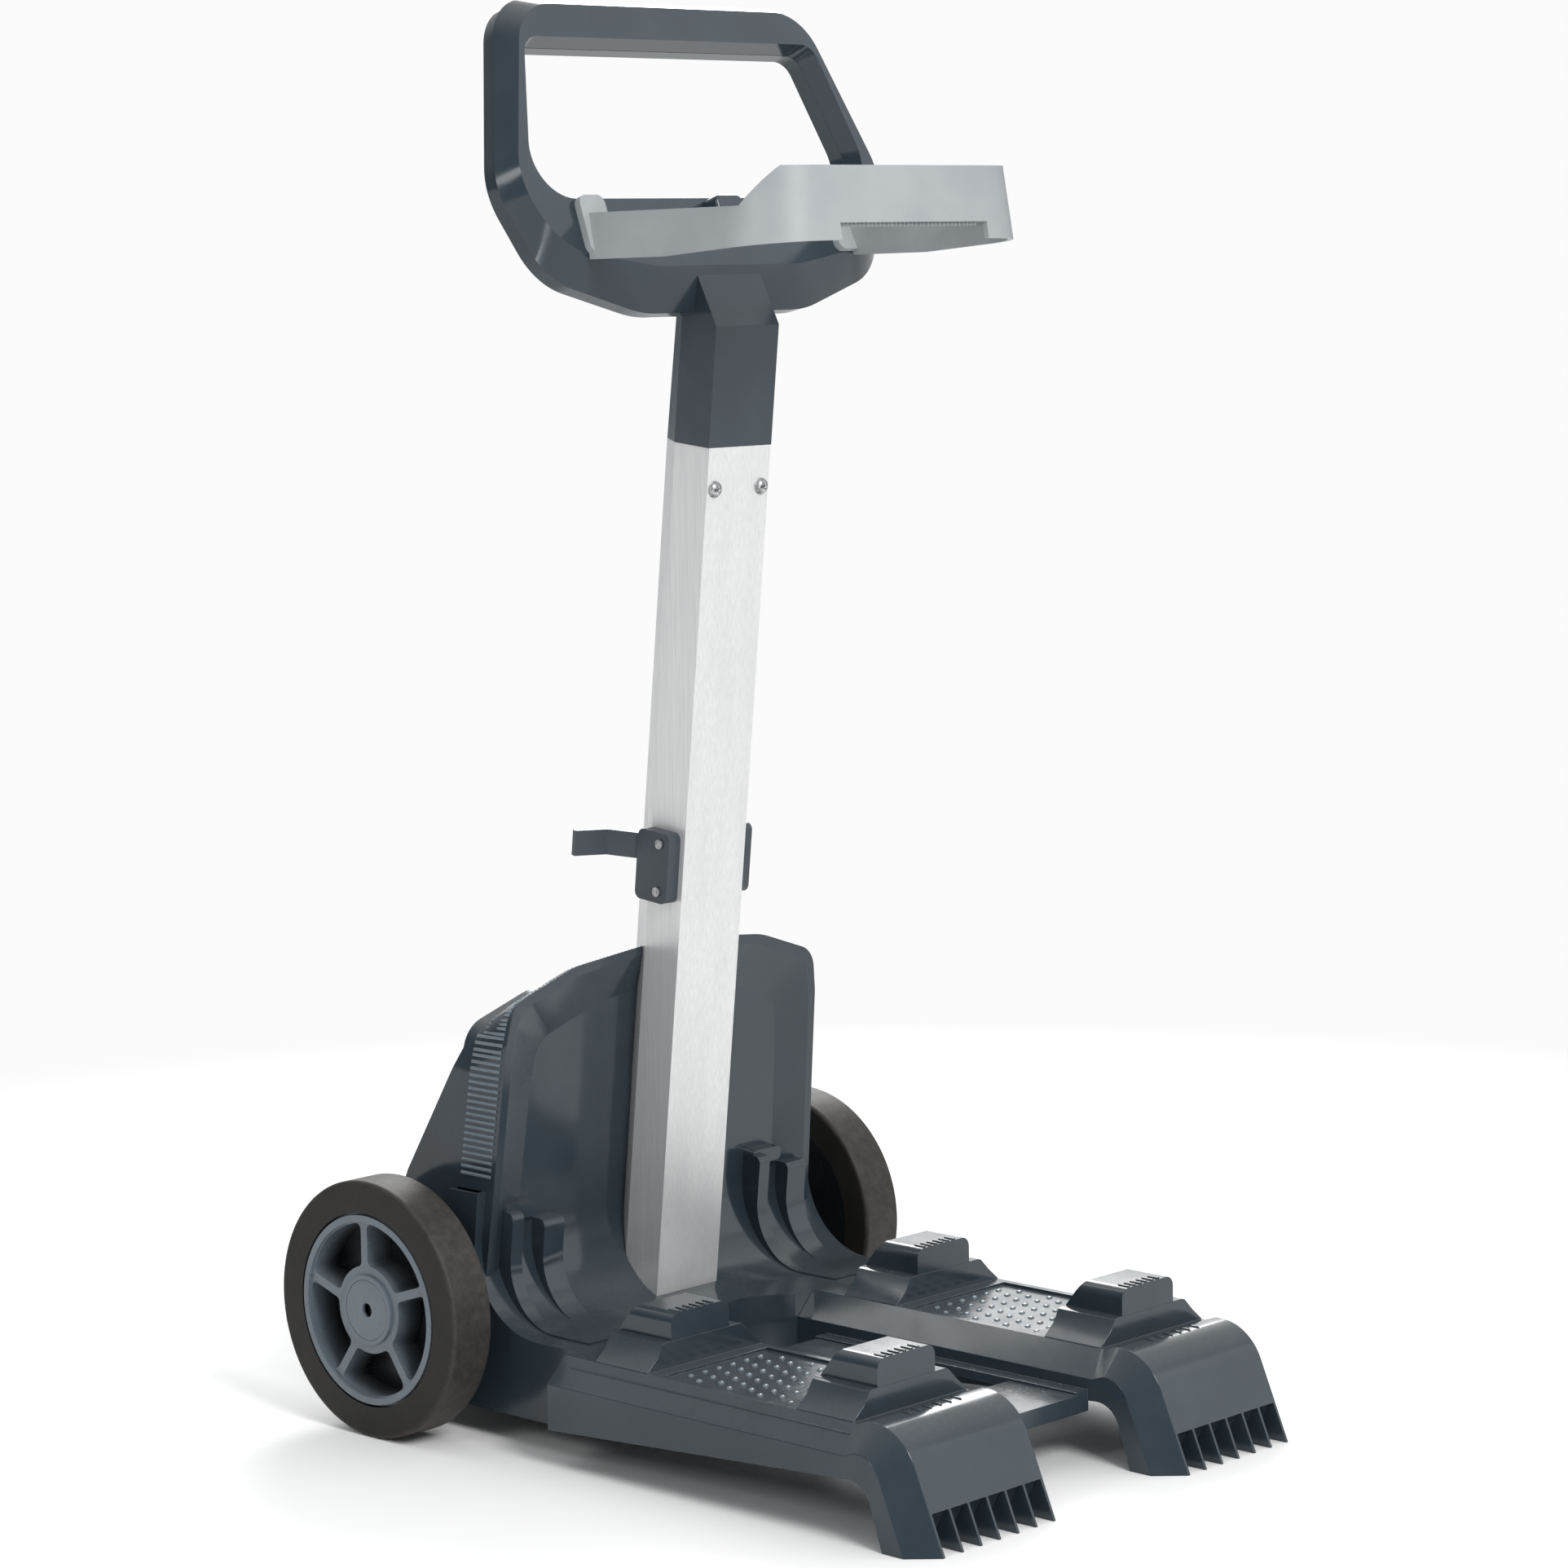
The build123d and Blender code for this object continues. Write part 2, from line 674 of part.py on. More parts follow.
def loop_back_plane():
    """Plane on the loop's rear face, looking backward."""
    normal = Vector(0, cos(tilt), -sin(tilt))
    return Plane(origin=loop_origin + normal * loop_rear_depth, x_dir=(-1, 0, 0), z_dir=normal)


handle_shell_screws = screw_solid(loop_back_plane(), shell_screw_points, 3.5, 1.5, 8)
save("handle_shell_screws", handle_shell_screws)
save_drilled("handle_rear", handle_rear.part, handle_shell_screws)

# ================================================================ holder for the control box
arm_low = loop_origin.Z - 41.6     # underside of the arms at the handle
arm_top = arm_low + 31.0
wall_top = arm_low + 56.0
wall_low = arm_low + 11.0
notch_half = 68.0
notch_top = arm_low + 21.0
ledge_thickness = 3.0
ledge_relief = 6.0             # wall kept upright this far above the ledge, so a box can lie on it
holder_draft = 8.0             # degrees, the ring narrows upward
flange_thickness = 5.0         # plates that screw the arms to the handle
holder_screw_points = [(-holder_half + 8, -26), (holder_half - 8, -26)]
holder_flare = 3.0             # ring's extra half width at its lower edge


def holder_plan(inset):
    """Plan of the holder's outside, or its inside when set in, open to the back."""
    half = holder_half - inset
    front = holder_reach - inset
    with BuildSketch() as sketch:
        with BuildLine():
            FilletPolyline((-half, ahead(80)), (-half, ahead(front)), (half, ahead(front)), (half, ahead(80)),
                           close=True, radius=[0, holder_corner - inset, holder_corner - inset, 0])
        make_face()
    return sketch.sketch


def holder_side():
    """Side view of the holder: low arms at the back, rising to the tall front."""
    with BuildSketch() as sketch:
        with BuildLine():
            Polyline((ahead(90), arm_low), (ahead(200), arm_low + 2), (ahead(holder_reach + 5), wall_low),
                     (ahead(holder_reach + 5), wall_top), (ahead(283), wall_top), (ahead(262), arm_top + 1),
                     (ahead(90), arm_top - 2), close=True)
        make_face()
    return sketch.sketch


with BuildPart() as box_holder:
    with BuildSketch(Plane.XY.offset(arm_low - 10)):
        add(holder_plan(-holder_flare))
    extrude(amount=80, taper=holder_draft)
    with BuildSketch(Plane.XY.offset(arm_low - 10)):
        add(holder_plan(holder_wall - holder_flare))
    extrude(amount=80, taper=holder_draft, mode=Mode.SUBTRACT)
    with BuildSketch(side_plane(-150)):
        add(holder_side())
    extrude(amount=300, mode=Mode.INTERSECT)
    with Locations((0, ahead(holder_reach), notch_top - 50)):
        Box(2 * notch_half, 60, 100, mode=Mode.SUBTRACT)
    with BuildSketch(Plane.XY.offset(notch_top)):
        add(holder_plan(holder_wall))
        add(holder_plan(holder_wall + holder_lip), mode=Mode.SUBTRACT)
        with Locations((0, ahead(80))):
            Rectangle(400, 300, mode=Mode.SUBTRACT)
    extrude(amount=ledge_thickness)
    ledge_top = notch_top + ledge_thickness
    drawn_in = (ledge_top - arm_low + 10) * tan(radians(holder_draft)) - holder_flare
    with BuildSketch(Plane.XY.offset(ledge_top)):
        add(holder_plan(holder_wall + drawn_in - fit_gap))
    extrude(amount=ledge_relief, mode=Mode.SUBTRACT)
    with BuildSketch(loop_plane(loop_front_depth)):
        with Locations(*holder_screw_points):
            RectangleRounded(22, 38, 6)
    extrude(amount=flange_thickness)
    with BuildSketch(loop_plane(loop_front_depth)):
        Rectangle(800, 800)
    extrude(amount=-300, mode=Mode.SUBTRACT)

holder_screws = screw_solid(loop_plane(loop_front_depth + flange_thickness), holder_screw_points, 4, 2, 16)
save("holder_screws", holder_screws)
save_drilled("box_holder", box_holder.part, holder_screws)
save_drilled("handle_front", handle_front.part, holder_screws)

# ================================================================ cable hooks on the mast's sides
hook_pad = (29.0, 47.0, 10.5)  # along the side face, up the mast, and out from it
hook_set = 18.5                # middle of a hook's pad behind the mast's front
hook_centre = 290.0            # along the mast from its foot
hook_arm_low = 292.0
hook_arm_height = 17.0
# the arm's outline, each point as its distance out from the mast's side and back from its front
hook_arm = [(5.5, 30), (18.5, 53.7), (40.5, 60.7), (39.5, 64.7), (16, 57.2), (2, 33)]


hooks = {}
for side, hand in ((-1, "left"), (1, "right")):
    with BuildPart() as cable_hook:
        with BuildSketch(Plane(origin=mast_foot + Vector(side * mast_width / 2, 0, 0), x_dir=mast_back,
                               z_dir=(1, 0, 0))):
            with Locations((hook_set, hook_centre)):
                RectangleRounded(hook_pad[0], hook_pad[1], 5)
        extrude(amount=side * hook_pad[2])
        with BuildSketch(across(hook_arm_low)):
            with BuildLine():
                Polyline(*[(side * (mast_width / 2 + out), depth) for out, depth in hook_arm], close=True)
            make_face()
        extrude(amount=hook_arm_height)
    hooks[hand] = cable_hook.part

with BuildPart() as cable_hook_screws:
    for side in (-1, 1):
        out = side * (mast_width / 2 + hook_pad[2])
        with BuildSketch(Plane(origin=mast_foot + Vector(out, 0, 0), x_dir=mast_back, z_dir=(1, 0, 0))):
            with Locations((hook_set - 6, hook_centre - 16), (hook_set - 6, hook_centre + 16)):
                Circle(3.2)
        extrude(amount=side * 1.5)
        with BuildSketch(Plane(origin=mast_foot + Vector(out, 0, 0), x_dir=mast_back, z_dir=(1, 0, 0))):
            with Locations((hook_set - 6, hook_centre - 16), (hook_set - 6, hook_centre + 16)):
                Circle(screw_hole)
        extrude(amount=-side * hook_pad[2])

save("cable_hook_screws", cable_hook_screws.part)
for hand, hook in hooks.items():
    save_drilled(f"cable_hook_{hand}", hook, cable_hook_screws.part)

# ================================================================ housing and fork screws
cover_screw_v = 176.0          # along the mast from its foot
cover_screw_x = base_half - 53.0
cover_screw_points = [(x, cover_screw_v) for x in (-cover_screw_x, -50, 50, cover_screw_x)]
fork_screw_x = [side * (fork_centre + shift) for side in (-1, 1) for shift in (-31, 34)]
fork_screw_z = 46.0

housing_screws = screw_solid(facing_back(band_back + cover_depth), cover_screw_points, 4.0, 2.0, shell)
save("housing_screws", housing_screws)
save_drilled("base_rear", base_rear.part, housing_screws)

with BuildPart() as fork_screws:
    for x in fork_screw_x:
        with Locations((x, ahead(fork_root + shell) - 1.5, fork_screw_z)):
            Cylinder(5, 3, rotation=(90, 0, 0))
        with Locations((x, ahead(fork_root), fork_screw_z)):
            Cylinder(screw_hole, 2 * shell, rotation=(90, 0, 0))

save("fork_screws", fork_screws.part)
save_drilled("base_front", base_front.part, fork_screws.part)
save_drilled("fork_frame", fork_frame.part, fork_screws.part)

# ================================================================ axle with spacers and retaining rings
hub_inner = wheel_track / 2 - wheel_width / 2
hub_outer = wheel_track / 2 + wheel_width / 2
cap_recess = 12.0
cap_thickness = 3.0
ring_thickness = 2.5
ring_radius = axle_radius + 4.5
spacer_radius = axle_radius + 5.0
axle_end = hub_outer - 5.5

with BuildPart() as axle:
    with Locations((0, axle_y, axle_z)):
        Cylinder(axle_radius, 2 * axle_end, rotation=(0, 90, 0))

save("axle", axle.part)


def ring_pair(inner, outer, start, length):
    """Two equal rings on the wheels' axis, one at each side, starting this far from the middle."""
    with BuildPart() as rings:
        for side in (-1, 1):
            with Locations((side * (start + length / 2), axle_y, axle_z)):
                Cylinder(outer, length, rotation=(0, 90, 0))
                Cylinder(inner, length + 1, rotation=(0, 90, 0), mode=Mode.SUBTRACT)
    return rings.part


save("axle_spacers", ring_pair(axle_radius, spacer_radius, boss_half, hub_inner - wheel_gap - boss_half))
ring_start = hub_outer - cap_recess + wheel_gap
save("axle_retainers", ring_pair(axle_radius, ring_radius, ring_start, ring_thickness))

# ================================================================ wheels
window_inner = 29.0
window_outer = rim_radius - 7.0
window_depth = 24.0
rim_gap = 1.5                  # shadow groove between hub and tyre
rim_groove = 4.0
tyre_round = 3.0
hub_turn = 90.0                # degrees, first spoke straight up


def outward(side, x):
    """Plane square to the wheels' axis at this distance from the middle, looking outward."""
    return Plane(origin=(side * x, axle_y, axle_z), x_dir=(0, side, 0), z_dir=(side, 0, 0))


def tyre_solid(side):
    """Solid rubber tyre with a crisp shoulder."""
    with BuildPart() as tyre:
        with BuildSketch(outward(side, hub_inner)):
            Circle(wheel_radius)
            Circle(rim_radius, mode=Mode.SUBTRACT)
        extrude(amount=wheel_width)
        fillet(tyre.edges().filter_by(GeomType.CIRCLE).sort_by(SortBy.RADIUS)[-2:], tyre_round)
    return tyre.part


def window_sector():
    """One opening between two spokes, first spoke on the local x axis."""
    turn = 360.0 / spoke_count
    with BuildSketch() as sketch:
        Circle(window_outer)
        Circle(window_inner, mode=Mode.SUBTRACT)
        with BuildSketch(mode=Mode.INTERSECT):
            with BuildLine():
                Polyline((0, 0), (200, 0), (200 * cos(radians(turn)) + 200, 200 * sin(radians(turn))),
                         (200 * cos(radians(turn)), 200 * sin(radians(turn))), close=True)
            make_face()
        for spoke in range(2):
            with BuildSketch(Plane.XY.rotated((0, 0, spoke * turn)), mode=Mode.SUBTRACT):
                with Locations((100, 0)):
                    Rectangle(200, spoke_width)
        fillet(sketch.vertices(), 4)
    return sketch.sketch


def hub_solid(side):
    """Hub with its rim, five spokes in front of a disc, and a recess for the cap."""
    with BuildPart() as hub:
        with BuildSketch(outward(side, hub_inner)):
            Circle(rim_radius)
        extrude(amount=wheel_width)
        with BuildSketch(outward(side, hub_outer)):
            Circle(rim_radius + 1)
            Circle(rim_radius - rim_gap, mode=Mode.SUBTRACT)
        extrude(amount=-rim_groove, mode=Mode.SUBTRACT)
        with BuildSketch(outward(side, hub_outer)):
            with PolarLocations(0, spoke_count, start_angle=hub_turn):
                add(window_sector())
        extrude(amount=-window_depth, mode=Mode.SUBTRACT)
        with BuildSketch(outward(side, hub_outer)):
            Circle(rim_radius - 6)
            Circle(cap_radius + 3, mode=Mode.SUBTRACT)
        extrude(amount=-2, mode=Mode.SUBTRACT)
        with BuildSketch(outward(side, hub_inner)):
            Circle(bush_radius)
        extrude(amount=wheel_width, mode=Mode.SUBTRACT)
        with BuildSketch(outward(side, hub_outer)):
            Circle(cap_radius)
        extrude(amount=-cap_recess, mode=Mode.SUBTRACT)
    return hub.part


for side, hand in ((-1, "left"), (1, "right")):
    save(f"tyre_{hand}", tyre_solid(side))
    save(f"hub_{hand}", hub_solid(side))
    with BuildPart() as bush:
        with BuildSketch(outward(side, hub_inner)):
            Circle(bush_radius)
            Circle(axle_radius + running_gap, mode=Mode.SUBTRACT)
        extrude(amount=wheel_width - cap_recess)
    save(f"bush_{hand}", bush.part)
    with BuildPart() as hub_cap:
        with BuildSketch(outward(side, hub_outer - cap_thickness)):
            Circle(cap_radius)
            Circle(4.5, mode=Mode.SUBTRACT)
        extrude(amount=cap_thickness)
    save(f"hub_cap_{hand}", hub_cap.part)
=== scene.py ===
import logging
import math
from dataclasses import dataclass, field
from enum import Enum

import bmesh
import bpy
from mathutils import Matrix, Vector
from mathutils.bvhtree import BVHTree


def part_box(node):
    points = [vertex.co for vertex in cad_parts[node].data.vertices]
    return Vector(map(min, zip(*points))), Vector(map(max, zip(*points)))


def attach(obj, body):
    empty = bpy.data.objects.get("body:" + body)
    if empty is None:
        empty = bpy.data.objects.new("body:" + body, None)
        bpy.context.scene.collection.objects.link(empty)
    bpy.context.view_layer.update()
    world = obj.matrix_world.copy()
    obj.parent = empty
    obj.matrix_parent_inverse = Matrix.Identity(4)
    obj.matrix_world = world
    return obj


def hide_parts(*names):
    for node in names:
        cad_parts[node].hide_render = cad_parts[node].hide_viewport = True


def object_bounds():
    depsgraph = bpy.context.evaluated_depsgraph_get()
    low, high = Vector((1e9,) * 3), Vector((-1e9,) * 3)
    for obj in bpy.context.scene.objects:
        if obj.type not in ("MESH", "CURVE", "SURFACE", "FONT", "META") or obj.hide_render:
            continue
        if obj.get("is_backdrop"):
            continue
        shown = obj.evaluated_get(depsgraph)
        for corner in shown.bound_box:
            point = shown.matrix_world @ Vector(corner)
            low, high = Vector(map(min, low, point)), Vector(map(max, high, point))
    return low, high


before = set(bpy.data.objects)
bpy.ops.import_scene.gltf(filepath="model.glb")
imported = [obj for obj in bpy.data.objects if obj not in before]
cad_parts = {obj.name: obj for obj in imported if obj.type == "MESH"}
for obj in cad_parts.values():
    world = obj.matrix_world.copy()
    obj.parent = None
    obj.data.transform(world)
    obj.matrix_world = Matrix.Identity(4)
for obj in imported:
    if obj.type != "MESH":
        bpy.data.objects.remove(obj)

LOG = logging.getLogger("caddy")
MM = 0.001
PER_MM = 1000.0
SEED = 7
MAST_LEAN = math.radians(6.3)
HANDLE_LEAN = math.radians(18.6)
WELD_DISTANCE = 0.00001
ROUNDING_STEPS = 3
NORMAL_WEIGHT = 80
CHASSIS = "chassis"
DOWN = Vector((0, 0, -1))
Node = bpy.types.Node
Socket = bpy.types.NodeSocket
Material = bpy.types.Material
Piece = bpy.types.Object
Triple = tuple[float, float, float]


class Slot(str, Enum):
    """The record's material slots."""

    BASE = "base_plastic"
    MAST = "mast_metal"
    INNER = "inner_plastic"
    HOLDER = "holder_plastic"
    HOOK = "hook_plastic"
    SCREW = "screw_steel"
    AXLE = "axle_steel"
    TYRE = "tyre_rubber"
    HUB = "hub_plastic"


# ---------------------------------------------------------------- shader helpers
def linear(colour: str) -> tuple[float, float, float, float]:
    """Turn an sRGB hex colour into linear values.

    Args:
        colour: Six hex digits with a leading hash.

    Returns:
        Red, green, blue and full alpha, linear.
    """
    channels = []
    for start in (1, 3, 5):
        value = int(colour[start:start + 2], 16) / 255
        channels.append(value / 12.92 if value <= 0.04045 else ((value + 0.055) / 1.055) ** 2.4)
    return (*channels, 1.0)


@dataclass
class NodeTree:
    """A node tree being built, with one short way to add nodes."""

    tree: bpy.types.NodeTree

    def join(self, value: Node | Socket, socket: Socket) -> None:
        """Link an output, or a node's first output, to an input."""
        self.tree.links.new(value.outputs[0] if isinstance(value, Node) else value, socket)

    def add(self, kind: str, inputs: dict | None = None, **settings: object) -> Node:
        """Add a node, set it up and link it.

        Args:
            kind: The node's Blender type name.
            inputs: For each input name or number, a constant, an output, or a node whose
                first output is meant.
            settings: Attributes to set on the node.

        Returns:
            The new node.
        """
        node = self.tree.nodes.new(kind)
        for name, value in settings.items():
            setattr(node, name, value)
        for name, value in (inputs or {}).items():
            if isinstance(value, (Node, Socket)):
                self.join(value, node.inputs[name])
            else:
                node.inputs[name].default_value = value
        return node

    def blend(self, value: Node | Socket, low: float, high: float, below: object, above: object,
              most: float = 1.0) -> Socket:
        """Go from one colour to another as a value rises.

        Args:
            value: What decides the colour.
            low: Where the second colour starts to come in.
            high: Where it has come in as far as it does.
            below: The first colour, or the output that gives it.
            above: The second colour, or the output that gives it.
            most: The largest share of the second colour.

        Returns:
            The blended colour.
        """
        share = self.add("ShaderNodeMapRange", {0: value, 1: low, 2: high, 4: most})
        return self.add("ShaderNodeMix", {0: share, 6: below, 7: above}, data_type="RGBA").outputs[2]


@dataclass(frozen=True)
class Pattern:
    """An irregular pattern of a real size.

    Attributes:
        size_mm: Width of its lumps in millimetres.
        detail: How many finer layers lie on the lumps.
        rough: How strong the finer layers are.
        stretch: Scale along each axis, below 1 to draw the pattern out.
        turn: Rotation of the pattern in radians.
    """

    size_mm: float
    detail: float = 3.0
    rough: float = 0.5
    stretch: Triple = (1.0, 1.0, 1.0)
    turn: Triple = (0.0, 0.0, 0.0)

    def lay(self, nodes: NodeTree, where: Socket) -> Node:
        """Lay the pattern on a surface.

        Args:
            nodes: The material's node tree.
            where: The surface's coordinates.

        Returns:
            The node whose first output is the pattern, from 0 to 1.
        """
        placed = nodes.add("ShaderNodeMapping",
                           {"Vector": where, "Rotation": self.turn, "Scale": self.stretch})
        return nodes.add("ShaderNodeTexNoise", {"Vector": placed, "Scale": PER_MM / self.size_mm,
                                                "Detail": self.detail, "Roughness": self.rough})


@dataclass
class Surface:
    """A material being built: its nodes, its shader and its object coordinates."""

    material: Material
    nodes: NodeTree
    shader: Node
    where: Socket

    @classmethod
    def start(cls, name: str) -> "Surface":
        """Start a material.

        Args:
            name: The material's name.

        Returns:
            The material with its plain shader and its coordinates.
        """
        material = bpy.data.materials.new(name)
        material.use_nodes = True
        nodes = NodeTree(material.node_tree)
        shader = material.node_tree.nodes["Principled BSDF"]
        return cls(material, nodes, shader, nodes.add("ShaderNodeTexCoord").outputs["Object"])

    def finish(self, colour: Socket, rough: Node, layers: list[tuple[Node, float, float]],
               **constants: float) -> Material:
        """Stack the relief and join everything to the shader.

        Args:
            colour: The base colour.
            rough: The roughness.
            layers: For each layer of relief from the broadest up, its pattern, its depth in
                millimetres and its strength.
            constants: Shader inputs by name, with underscores for spaces.

        Returns:
            The finished material.
        """
        under = {}
        for height, depth_mm, strength in layers:
            relief = self.nodes.add("ShaderNodeBump", {"Height": height, "Distance": depth_mm * MM,
                                                       "Strength": strength} | under)
            under = {"Normal": relief}
        for name, value in (("Base Color", colour), ("Roughness", rough), ("Normal", relief)):
            self.nodes.join(value, self.shader.inputs[name])
        for name, value in constants.items():
            self.shader.inputs[name.replace("_", " ")].default_value = value
        return self.material


@dataclass(frozen=True)
class Moulding:
    """An injection-moulded plastic: coloured all through, with a moulded skin.

    The eye gets soft reflections broken by a fine skin texture, slow waviness from
    shrinkage, faint rubs where hands and boxes pass, and dust that dulls what faces up.

    Attributes:
        grain_mm: Size of the skin texture, drawn coarser than a real skin's so that it shows.
        grain: Strength of the skin texture.
        wave: Strength of the shrinkage waves.
        dust: Largest share of dust.
        rubs: How much duller the rubs are.
        painted_shade_span: Distances from the middle, in metres, between which the colour goes from a
        painted shade in the hollows to its own, for pieces whose hollows face sideways.
    """

    name: str
    colour: str
    shade: str
    gloss: float
    grain_mm: float
    grain: float
    wave: float = 0.25
    dust: float = 0.10
    rubs: float = 0.35
    painted_shade_span: tuple[float, float] | None = None
    # Colour of the painted shade in the hollows.
    painted_shade_colour: str = "#17191c"
    dust_colour: str = "#a9a59c"
    mottle: Pattern = Pattern(70, 4, 0.55)
    waves: Pattern = Pattern(45, 1, 0.4)
    scratches: Pattern = Pattern(3.0, 5, 0.7, (1, 1, 9), (0.5, 0.7, 0.2))
    handled: Pattern = Pattern(90, 2)
    sheen: Pattern = Pattern(30, 3)
    dusting: Pattern = Pattern(4, 6, 0.7)

    def build(self) -> Material:
        """Make the material.

        Returns:
            The finished material.
        """
        surface = Surface.start(self.name)
        nodes, where = surface.nodes, surface.where
        colour = nodes.blend(self.mottle.lay(nodes, where), 0.35, 0.65,
                             linear(self.colour), linear(self.shade))
        # Painted shade: the colour darkens towards the middle, deep in the hub's windows.
        if self.painted_shade_span:
            sideways = nodes.add("ShaderNodeSeparateXYZ", {0: where})
            out = nodes.add("ShaderNodeMath", {0: sideways}, operation="ABSOLUTE")
            colour = nodes.blend(out, *self.painted_shade_span, linear(self.painted_shade_colour), colour)
        scratch = nodes.add("ShaderNodeMapRange", {0: self.scratches.lay(nodes, where), 1: 0.60, 2: 0.72})
        handled = nodes.add("ShaderNodeMapRange",
                            {0: self.handled.lay(nodes, where), 1: 0.45, 2: 0.7, 4: self.rubs})
        rub = nodes.add("ShaderNodeMath", {0: scratch, 1: handled}, operation="MULTIPLY")
        normal = nodes.add("ShaderNodeNewGeometry").outputs["Normal"]
        up = nodes.add("ShaderNodeSeparateXYZ", {0: normal}).outputs[2]
        facing_up = nodes.add("ShaderNodeMapRange", {0: up, 1: 0.5, 2: 1.0, 4: self.dust})
        settled = nodes.add("ShaderNodeMath", {0: facing_up, 1: self.dusting.lay(nodes, where)},
                            operation="MULTIPLY")
        dusty = nodes.add("ShaderNodeMix", {0: settled, 6: colour, 7: linear(self.dust_colour)},
                          data_type="RGBA").outputs[2]
        rough = nodes.add("ShaderNodeMapRange", {0: self.sheen.lay(nodes, where), 1: 0.3, 2: 0.7,
                                                 3: self.gloss - 0.04, 4: self.gloss + 0.06})
        for duller in (rub, settled):
            rough = nodes.add("ShaderNodeMath", {0: rough, 1: duller}, operation="ADD")
        fine = Pattern(self.grain_mm, 2, 0.6).lay(nodes, where)
        layers = [(self.waves.lay(nodes, where), 0.6, self.wave), (fine, 0.05, self.grain),
                  (scratch, 0.03, 0.2)]
        return surface.finish(dusty, rough, layers, IOR=1.5)


@dataclass(frozen=True)
class DrawnAluminium:
    """Extruded aluminium with a pale satin anodised skin.

    The eye gets a bright, almost white metal with fine draw lines along its length,
    slight uneven sheen, and small handling marks.

    Attributes:
        draw_lines: Lines along the mast, drawn coarser than real ones so that they show.
    """

    name: str = "anodised aluminium"
    colour: str = "#e4e4e3"
    shade: str = "#d3d4d4"
    dull: str = "#c4c6c8"
    gloss: float = 0.36
    metal: float = 0.55
    draw_lines: Pattern = Pattern(0.7, 3, 0.6, (1, 1, 0.012), (-0.11, 0, 0))
    sheen: Pattern = Pattern(14, 3, 0.5, (1, 1, 0.1), (-0.11, 0, 0))
    marks: Pattern = Pattern(5, 6, 0.7, (6, 1, 1), (0.3, 0.2, 0.6))

    def build(self) -> Material:
        """Make the material.

        Returns:
            The finished material.
        """
        surface = Surface.start(self.name)
        nodes, where = surface.nodes, surface.where
        lines = self.draw_lines.lay(nodes, where)
        marks = nodes.add("ShaderNodeMapRange", {0: self.marks.lay(nodes, where), 1: 0.66, 2: 0.74})
        colour = nodes.blend(lines, 0.3, 0.7, linear(self.colour), linear(self.shade))
        colour = nodes.blend(self.sheen.lay(nodes, where), 0.4, 0.7, colour, linear(self.dull), 0.25)
        rough = nodes.add("ShaderNodeMapRange", {0: lines, 1: 0.3, 2: 0.7,
                                                 3: self.gloss - 0.05, 4: self.gloss + 0.07})
        rough = nodes.add("ShaderNodeMath", {0: marks, 1: 0.12, 2: rough}, operation="MULTIPLY_ADD")
        layers = [(lines, 0.02, 0.35), (marks, 0.02, 0.25)]
        return surface.finish(colour, rough, layers, Metallic=self.metal)


@dataclass(frozen=True)
class Rubber:
    """Moulded tyre rubber, brown-black and slightly bloomed.

    The eye gets a dull, near-black face with a dry brown cast, fine pitting, faint rings
    from the mould's turning, and a paler tread, partly dust specks and partly painted light.

    Attributes:
        turn_centre: A point on the wheels' axis, in metres.
        ring_mm: Spacing of the turning rings.
        tread: Distances from the axis, in metres, between which the paler
        tread comes in, partly dust and partly painted light.
    """

    name: str
    colour: str
    worn: str
    turn_centre: Triple
    # Colour of the paler tread: dust and painted light together.
    dust_colour: str = "#4a4641"
    gloss: float = 0.55
    ring_mm: float = 10 / 9
    tread: tuple[float, float] = (0.0815, 0.0845)
    pits: Pattern = Pattern(1.1, 4, 0.7)
    patches: Pattern = Pattern(26, 4, 0.6)
    dusting: Pattern = Pattern(7, 6, 0.7)

    def build(self) -> Material:
        """Make the material.

        Returns:
            The finished material.
        """
        surface = Surface.start(self.name)
        nodes, where = surface.nodes, surface.where
        centred = nodes.add("ShaderNodeVectorMath", {0: where, 1: self.turn_centre}, operation="SUBTRACT")
        flat = nodes.add("ShaderNodeVectorMath", {0: centred, 1: (0, 1, 1)}, operation="MULTIPLY")
        radius = nodes.add("ShaderNodeVectorMath", {0: flat}, operation="LENGTH").outputs["Value"]
        rings = nodes.add("ShaderNodeTexNoise", noise_dimensions="1D",
                          inputs={"W": radius, "Scale": PER_MM / self.ring_mm, "Detail": 3.0})
        pits = self.pits.lay(nodes, where)
        colour = nodes.blend(self.patches.lay(nodes, where), 0.35, 0.7,
                             linear(self.colour), linear(self.worn), 0.7)
        # Paler tread: dust specks together with painted light on the tread band.
        tread = nodes.add("ShaderNodeMapRange", {0: radius, 1: self.tread[0], 2: self.tread[1]})
        specks = nodes.add("ShaderNodeMapRange",
                           {0: self.dusting.lay(nodes, where), 1: 0.3, 2: 0.8, 3: 0.15, 4: 0.75})
        dust = nodes.add("ShaderNodeMath", {0: tread, 1: specks}, operation="MULTIPLY")
        colour = nodes.add("ShaderNodeMix", {0: dust, 6: colour, 7: linear(self.dust_colour)},
                           data_type="RGBA").outputs[2]
        rough = nodes.add("ShaderNodeMapRange", {0: pits, 1: 0.3, 2: 0.7,
                                                 3: self.gloss - 0.07, 4: self.gloss + 0.10})
        layers = [(rings, 0.06, 0.35), (pits, 0.08, 0.45)]
        return surface.finish(colour, rough, layers, Specular_IOR_Level=0.3)


